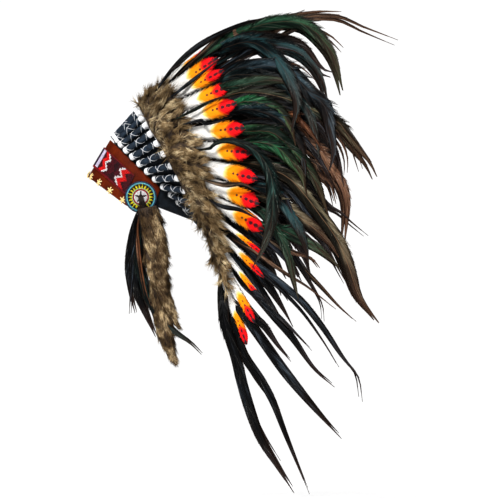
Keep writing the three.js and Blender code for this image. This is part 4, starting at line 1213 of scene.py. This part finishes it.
def long_feather(feathers, root, rise, turn, flare, length, width, tone, twist=0.0, curl=0.0, sign=1,
                 steps=24):
    share = np.linspace(0, 1, steps + 1)
    middle = heading(rise - turn * (share[:-1] + 0.5 / steps) ** TURN_EASE, flare + curl * share[:-1] ** 2)
    point = np.concatenate([[root], root + np.cumsum(middle * length / steps, axis=0)])
    lay(feathers, point, width, tone, twist, sign)


def lay(feathers, point, width, tone, twist, sign, ragged=0.15, opening=(0.02, 0.3)):
    """Adds a feather whose shaft runs through evenly spaced points."""
    share = np.linspace(0, 1, len(point))
    along = unit(np.gradient(point, axis=0))
    across = unit(np.cross(along, [1.0, 0, 0]))
    out = np.cross(across, along)
    across, out = turned_frame(along, across, out, np.radians(twist) * (0.35 + share))
    taper = mix(0.42, 0.7, smoothstep(width, 8, 30))
    half = np.maximum(width / 2 * blade_shape(share, taper, opening), 0.5)
    flip = np.array([sign, 1, 1])
    loose = ragged * mix(0.5, 1, smoothstep(share, 0.4, 1))
    length = np.linalg.norm(np.diff(point, axis=0), axis=1).sum()
    feathers.add(point * flip, along * flip, across * flip, out * flip, half, loose, share, tone, length,
                 camber=0.3, fill=0.98, body=0.3, lean=BARB_LOOK["angle"])


def smooth_line(points, count):
    """Evenly spaced points on a Catmull-Rom curve through the given ones."""
    points = np.asarray(points, float)
    ends = np.vstack([2 * points[0] - points[1], points, 2 * points[-1] - points[-2]])
    fine = []
    for k in range(1, len(ends) - 2):
        p0, p1, p2, p3 = ends[k - 1:k + 3]
        for t in np.linspace(0, 1, 12, endpoint=k == len(ends) - 3):
            fine.append(0.5 * (2 * p1 + (p2 - p0) * t + (2 * p0 - 5 * p1 + 4 * p2 - p3) * t * t
                               + (3 * p1 - p0 - 3 * p2 + p3) * t ** 3))
    fine = np.array(fine)
    walked = np.concatenate([[0], np.cumsum(np.linalg.norm(np.diff(fine, axis=0), axis=1))])
    spots = np.linspace(0, walked[-1], count)
    return np.stack([np.interp(spots, walked, fine[:, k]) for k in range(fine.shape[1])], -1)


# The row's surface carried on past the plumes' tips, to lay long feathers on
TIP_STEP, FAR_STEPS, FAR_FLARE = 42, 60, 0.25
far_way = heading(fan(grid_places, PLUME_RISE), fan(grid_places, PLUME_FLARE) * FAR_FLARE)
far_walk = np.arange(1, FAR_STEPS + 1)[None, :, None] * GRID_STEP
far_points = grid[:, TIP_STEP:TIP_STEP + 1] + far_way[:, None] * far_walk
far_grid = np.concatenate([grid[:, :TIP_STEP + 1], far_points], axis=1)
surface = far_grid.reshape(-1, 3)
surface_places = np.repeat(grid_places, far_grid.shape[1])


def surface_side(line):
    """How far out to the side the carried-on surface is at points (y, z)."""
    near = ((surface[None, :, 1:] - line[:, None, :]) ** 2).sum(-1)
    weight = 1 / (near + 60) ** 2
    return (weight * surface[None, :, 0]).sum(1) / weight.sum(1)


def cock_root(place, depth=0.0):
    at = row_at(np.array(float(place)), np.array(LACING_START + LACING_WIDTH / 2),
                np.array(-LACING_DEPTH - LACING_THICKNESS / 2))
    return at + np.array([-depth, 0, 0])


# Depth at which a feather comes out from behind the plumes, low down and at the row's middle
HIDDEN_DEPTH, HIDDEN_TOP_DEPTH = 24, 50
LINE_POINTS = 30
FRONT_DEPTH = -20  # this far in front it runs over the plumes from its start


def laid_feather(feathers, width, tone, depth, way, sign, twist):
    first = np.array(way[0], float)
    place = surface_places[np.argmin(((surface[:, 1:] - first) ** 2).sum(1))]
    root = cock_root(place)
    line = smooth_line(np.vstack([root[1:], way]), LINE_POINTS)
    share = np.linspace(0, 1, LINE_POINTS)
    shown = np.linalg.norm(first - root[1:]) / np.linalg.norm(np.diff(line, axis=0), axis=1).sum()
    front = depth <= FRONT_DEPTH
    start = depth if front else mix(HIDDEN_TOP_DEPTH, HIDDEN_DEPTH, smoothstep(place, 1, 4))
    behind = mix(start, depth, smoothstep(share, shown - 0.05, shown + 0.1))
    side = mix(root[0], surface_side(line) - behind, smoothstep(share, 0, 0.2))
    opening = (0.02, 0.62) if front else (max(0.02, shown - 0.2), shown + 0.14)
    lay(feathers, np.column_stack([side, line]), width, tone, twist, sign, 0.08, opening)


SPREAD = 1.04  # a laid feather's breadth against its measured one


def cock_side(sign, name, nodes):
    feathers = Feathers()
    local = np.random.default_rng(97 if sign > 0 else 98)
    for width, tone, depth, way in LONG_FEATHERS:
        laid_feather(feathers, SPREAD * width, tone, depth, way, sign, local.uniform(-16, 16))
    for place, rise, turn, flare, reach, broad in FILL_FEATHERS:
        if place == 0 and sign < 0:
            continue
        near = min(max(place + local.uniform(-0.4, 0.4), 0.1), PLUME_LAST)
        long_feather(feathers, cock_root(near, local.uniform(2, 6)), rise + local.uniform(-6, 3),
                     turn * local.uniform(0.8, 1.1), flare + local.uniform(-3, 0.5),
                     reach * COCK_LENGTH * local.uniform(0.75, 1), broad * COCK_WIDTH,
                     0.12 * local.random(), local.uniform(-30, 30), local.uniform(-4, 1), sign)
    feathers.build(name, MAT["cock_vane"], "cock_feather", nodes, seed=23, **BARB_LOOK)


cock_side(1, "cock_left", ["cock_fan"])
cock_side(-1, "cock_right", [])


# ---- Fur ----

FUR_SECTION = np.array([
    (0.24, 0.16), (0.18, 0.34), (0, 0.44), (0.08, 0.8),
    (0.42, 1), (0.8, 0.72), (1, 0.42), (0.8, 0.26),
])


def closed_curve(points, count):
    """Catmull-Rom through a closed line of points."""
    out = []
    n = len(points)
    for i in range(count):
        s = i * n / count
        k, t = int(s), s % 1
        p0, p1, p2, p3 = (points[(k + d) % n] for d in (-1, 0, 1, 2))
        out.append(0.5 * (2 * p1 + (p2 - p0) * t + (2 * p0 - 5 * p1 + 4 * p2 - p3) * t * t
                          + (3 * p1 - p0 - 3 * p2 + p3) * t ** 3))
    return np.array(out)


FUR_FRONT_SHARE = 0.62


def fur_hide(name, start, end):
    section = closed_curve(FUR_SECTION, 18)
    spots = np.arange(start, end + 0.01, 0.2)
    points, flows = [], []
    for place in spots:
        swell = 1 + 0.12 * math.sin(place * 2.1) + 0.07 * math.sin(place * 5.3 + 1)
        swell *= mix(FUR_FRONT_SHARE, 1, float(smoothstep(abs(place), 0, 4)))
        shift = 3 * math.sin(place * 3.7)
        out = section[:, 1] * FUR_HEIGHT * np.where(section[:, 1] > 0.5, swell, 1) * 0.82
        reach = FUR_START + 10 + section[:, 0] * (FUR_LENGTH - 18) + np.where(section[:, 0] > 0.5, shift, 0)
        places = np.full(len(section), place)
        points.append(row_at(places, reach, out))
        _, along, normal, _ = row_frame(places, reach)
        flows.append(along)
    verts = np.concatenate(points)
    faces = outward(verts, loft_faces(len(spots), len(section)))
    return verts, faces, np.concatenate(flows)


for name, start, end, nodes in (("fur_left", 0, 14, ["fur_band"]), ("fur_right", -14, 0, [])):
    verts, faces, flows = fur_hide(name, start, end)
    skin = piece(f"{name}_hide", verts, faces, MAT["fur_hide"])
    on_head(skin, "brown_fur", *nodes)
    coat = piece(f"{name}_hair", verts, faces, None, flow=flows)
    on_head(grow(coat, HAIR, density=330000.0, length=0.023, width=0.0011, lift=0.38, stray=0.3, clump=0.7,
                 tufts=62.0, seed=5 if start == 0 else 6, material=MAT["rabbit_fur"]), "brown_fur")


# ---- Rosettes and drops ----

def rosette_seat():
    outer = 2 * CLOTH + LAYER_GAP
    low = wall_point(90, BROW_SIDE_BOTTOM, outer)
    seat_at = wall_point(90, -ROSETTE_LOW, outer)
    return np.array([low[0] + GAP, seat_at[1], seat_at[2]])


def rosette_colour(radius, turn):
    """Ring pattern by radius, with rays and a star by the angle from straight up."""
    if radius > 27.6:
        return "steel"
    if radius > 25:
        return "turquoise"
    if radius > 16.8:
        ray = abs(((turn / (2 * math.pi) * 22) % 1) - 0.5) * 2
        return "yellow" if ray < (24.6 - radius) / 7.8 * 0.85 else "black"
    if radius > 15.2:
        return "pale"
    if radius > 13.2:
        return "crimson"
    point = abs(((turn / (2 * math.pi) * 5 + 0.5) % 1) - 0.5) * 2
    return "black" if radius < 4.6 + 7.6 * max(0.0, 1 - point * 2) else "white"


ROSETTE_BEAD = 1.35
rosette_middle = rosette_seat()
for side, sign in (("left", 1), ("right", -1)):
    flip = np.array([sign, 1, 1])
    sides = 48
    profile = [(0.5, 0.0), (ROSETTE_RADIUS - 0.6, 0.0), (ROSETTE_RADIUS - 0.1, 0.5),
               (ROSETTE_RADIUS - 0.2, 1.2), (ROSETTE_RADIUS - 2, 1.7), (14, 2.3), (0.5, 2.6)]
    verts = []
    for radius, height in profile:
        for k in range(sides):
            turn = 2 * math.pi * k / sides
            spot = np.array([height, math.sin(turn) * radius, math.cos(turn) * radius])
            verts.append((rosette_middle + spot) * flip)
    verts = np.array(verts)
    disc = piece(f"rosette_{side}_backing", verts, outward(verts, loft_faces(len(profile), sides)),
                 MAT["bead_backing"])
    on_head(disc, "rosette_beads", f"rosette_{side}")
    points, normals, strings, colours = [], [], [], []
    radius = ROSETTE_RADIUS - 0.9
    while radius > 0.9:
        count = round(2 * math.pi * radius / (ROSETTE_BEAD * 0.98))
        for k in range(count):
            turn = 2 * math.pi * (k + 0.5) / count
            face = 2.7 - 0.95 * (radius / ROSETTE_RADIUS) ** 2
            spot = np.array([face, math.sin(turn) * radius, math.cos(turn) * radius])
            points.append((rosette_middle + spot) * flip)
            normals.append(np.array([1.0, 0, 0]) * flip)
            strings.append(np.array([0, math.cos(turn), -math.sin(turn)]))
            colours.append(rosette_colour(radius, turn))
        radius -= ROSETTE_BEAD
    bead_mesh(f"rosette_{side}_beads", points, np.array(normals), np.array(strings), colours, ROSETTE_BEAD,
              "rosette_beads")


COMBED = 0.18
TIE_SHARE, TIE_THICKNESS, TIE_SIDES = 0.34, 1.4, 10
TUFT_RADIUS, TUFT_FALL, TUFT_RINGS, TUFT_SIDES = 4.6, 30, 8, 12


def fur_strip(middle, halves):
    """A flattened round strip whose middle line runs through points, with half widths along it."""
    steps, sides = 18, 12
    line = smooth_line(middle, steps + 1)
    width = np.interp(np.linspace(0, 1, steps + 1), np.linspace(0, 1, len(halves)), halves)
    along = unit(np.gradient(line, axis=0))
    sections, flows = [], []
    for point, way, half in zip(line, along, width):
        across = unit(np.cross(way, [1.0, 0, 0]))
        thick = min(half, DROP_FUR_THICKNESS / 2) * 0.7
        for k in range(sides):
            turn_at = 2 * math.pi * k / sides
            sections.append(point + across * math.cos(turn_at) * half * 0.9
                            + np.array([math.sin(turn_at) * thick, 0, 0]))
            flows.append(way - across * COMBED)
    return np.array(sections), loft_faces(len(line), sides), np.array(flows)


drop_middle = rosette_middle + np.array([ROSETTE_THICKNESS + ROSETTE_DOME + GAP + KNOT_RADIUS, 0, 0])
for side, sign in (("left", 1), ("right", -1)):
    flip = np.array([sign, 1, 1])
    hides = Pile()
    feathers = Feathers()
    local = np.random.default_rng(61)
    for out, halves, way in DROP_FURS:
        middle = np.array([(drop_middle[0] + out, y, z) for y, z in way])
        verts, faces, flow = fur_strip(middle, halves)
        hides.add(verts * flip, faces, flow=flow * flip)
    for out, width, tone, way in DROP_PLUMES:
        line = smooth_line(way, 26)
        line = np.column_stack([np.full(len(line), drop_middle[0] + out), line])
        lay(feathers, line, width, tone, local.uniform(-10, 10), sign)
    share = np.linspace(0, 1, 9)
    ring = []
    for s in share:
        here = drop_middle + heading(TIE_RISE, 0) * s * TIE_SHARE * DROP_LENGTH
        along = heading(TIE_RISE, 0)
        across = unit(np.cross(along, [1.0, 0, 0]))
        wide = TIE_WIDTH / 2 * (0.8 + 0.2 * math.sin(6 * s))
        for k in range(TIE_SIDES):
            turn_at = 2 * math.pi * k / TIE_SIDES
            ring.append(here + across * wide * math.cos(turn_at)
                        + np.array([TIE_THICKNESS * math.sin(turn_at), 0, 0]))
    ring = np.array(ring) * flip
    tie = piece(f"drop_{side}_tie", ring, outward(ring, loft_faces(len(share), TIE_SIDES)), MAT["suede_tie"])
    on_head(tie, "brown_fur", f"drop_{side}")
    hide_piece = hides.build(f"drop_{side}_hide", MAT["fur_hide"])
    on_head(hide_piece, "brown_fur")
    coat = hides.build(f"drop_{side}_hair", None)
    on_head(grow(coat, HAIR, density=800000.0, length=0.018, width=0.0009, lift=0.2, stray=0.22, clump=0.3,
                 tufts=75.0, seed=8, material=MAT["drop_fur"]), "brown_fur")
    feathers.build(f"drop_{side}_feathers", MAT["cock_vane"], "cock_feather", [], seed=29, **BARB_LOOK)
    # Tuft of dark fur at the rosette's middle
    ball = []
    for i in range(TUFT_RINGS + 1):
        s = i / TUFT_RINGS
        centre = drop_middle + np.array([-3.5 + 3 * s, 5 * s, 4 - TUFT_FALL * s])
        radius = TUFT_RADIUS * math.sqrt(max(0.06, 1 - (2 * s - 1) ** 2))
        for k in range(TUFT_SIDES):
            turn_at = 2 * math.pi * k / TUFT_SIDES
            ball.append(centre + np.array([math.sin(turn_at) * radius * 0.6, math.cos(turn_at) * radius, 0]))
    ball = np.array(ball) * flip
    faces = outward(ball, loft_faces(TUFT_RINGS + 1, TUFT_SIDES))
    flow = np.tile(unit(np.array([0.15 * sign, 0.15, -1.0])), (len(ball), 1))
    on_head(piece(f"tuft_{side}_hide", ball, faces, MAT["suede_tie"]), "brown_fur")
    tuft = piece(f"tuft_{side}_hair", ball, faces, None, flow=flow)
    on_head(grow(tuft, HAIR, density=1600000.0, length=0.026, width=0.0009, lift=0.3, stray=0.25, clump=0.4,
                 tufts=90.0, seed=9, material=MAT["dark_fur"]), "brown_fur")


# ---- Floor, light and camera ----

FLOOR_HALF, FLOOR_DROP = 1.3, 0.012
SEEN_LIGHT, CAST_LIGHT = 0.86, 0.18
LAMPS = [("key", (2.2, -1.1, 2.1), 118, 0.8), ("fill", (2.6, 1.2, -0.2), 26, 1.4),
         ("rim", (-1.6, 1.2, 1.8), 40, 1.2)]
SENSOR = 36
VIEW_GAMMA = 0.88


def studio():
    low, high = cad_box
    centre = (Vector(low) + Vector(high)) / 2
    z = low[2] - FLOOR_DROP
    corners = [(centre[0] + x * FLOOR_HALF, centre[1] + y * FLOOR_HALF, z)
               for x, y in ((-1, -1), (1, -1), (1, 1), (-1, 1))]
    floor = piece("floor", np.array(corners) / MM, [(0, 1, 2, 3)], MAT["studio_floor"], smooth=False)
    world = bpy.data.worlds.new("studio")
    bpy.context.scene.world = world
    world.use_nodes = True
    graph = Graph(world.node_tree)
    back = world.node_tree.nodes["Background"]
    seen = graph.add("ShaderNodeLightPath").outputs["Is Camera Ray"]
    graph.plug(back.inputs["Strength"], graph.math("MULTIPLY_ADD", seen, SEEN_LIGHT, CAST_LIGHT))
    back.inputs["Color"].default_value = (1.0, 1.0, 1.0, 1.0)
    for name, place, power, width in LAMPS:
        lamp = bpy.data.lights.new(name, "AREA")
        lamp.energy, lamp.size = power, width
        obj = bpy.data.objects.new(name, lamp)
        obj.location = Vector(place) + centre
        obj.rotation_mode = "QUATERNION"
        obj.rotation_quaternion = (centre - obj.location).to_track_quat("-Z", "Y")
        bpy.context.scene.collection.objects.link(obj)


def camera():
    half = PICTURE / 2
    y = (half - ORIGIN_PIXEL[0]) * MM_PER_PIXEL * MM
    z = (ORIGIN_PIXEL[1] - half) * MM_PER_PIXEL * MM
    lens = bpy.data.cameras.new("camera")
    lens.sensor_width = SENSOR
    lens.lens = SENSOR * (CAMERA_DISTANCE - FOCUS_PLANE) / (PICTURE * MM_PER_PIXEL)
    lens.clip_end = 100
    obj = bpy.data.objects.new("camera", lens)
    obj.location = (CAMERA_DISTANCE * MM, y, z)
    obj.rotation_euler = (math.radians(90), 0, math.radians(90))
    bpy.context.scene.collection.objects.link(obj)
    bpy.context.scene.camera = obj


studio()
camera()
bpy.context.scene.view_settings.view_transform = "Standard"
bpy.context.scene.view_settings.gamma = VIEW_GAMMA
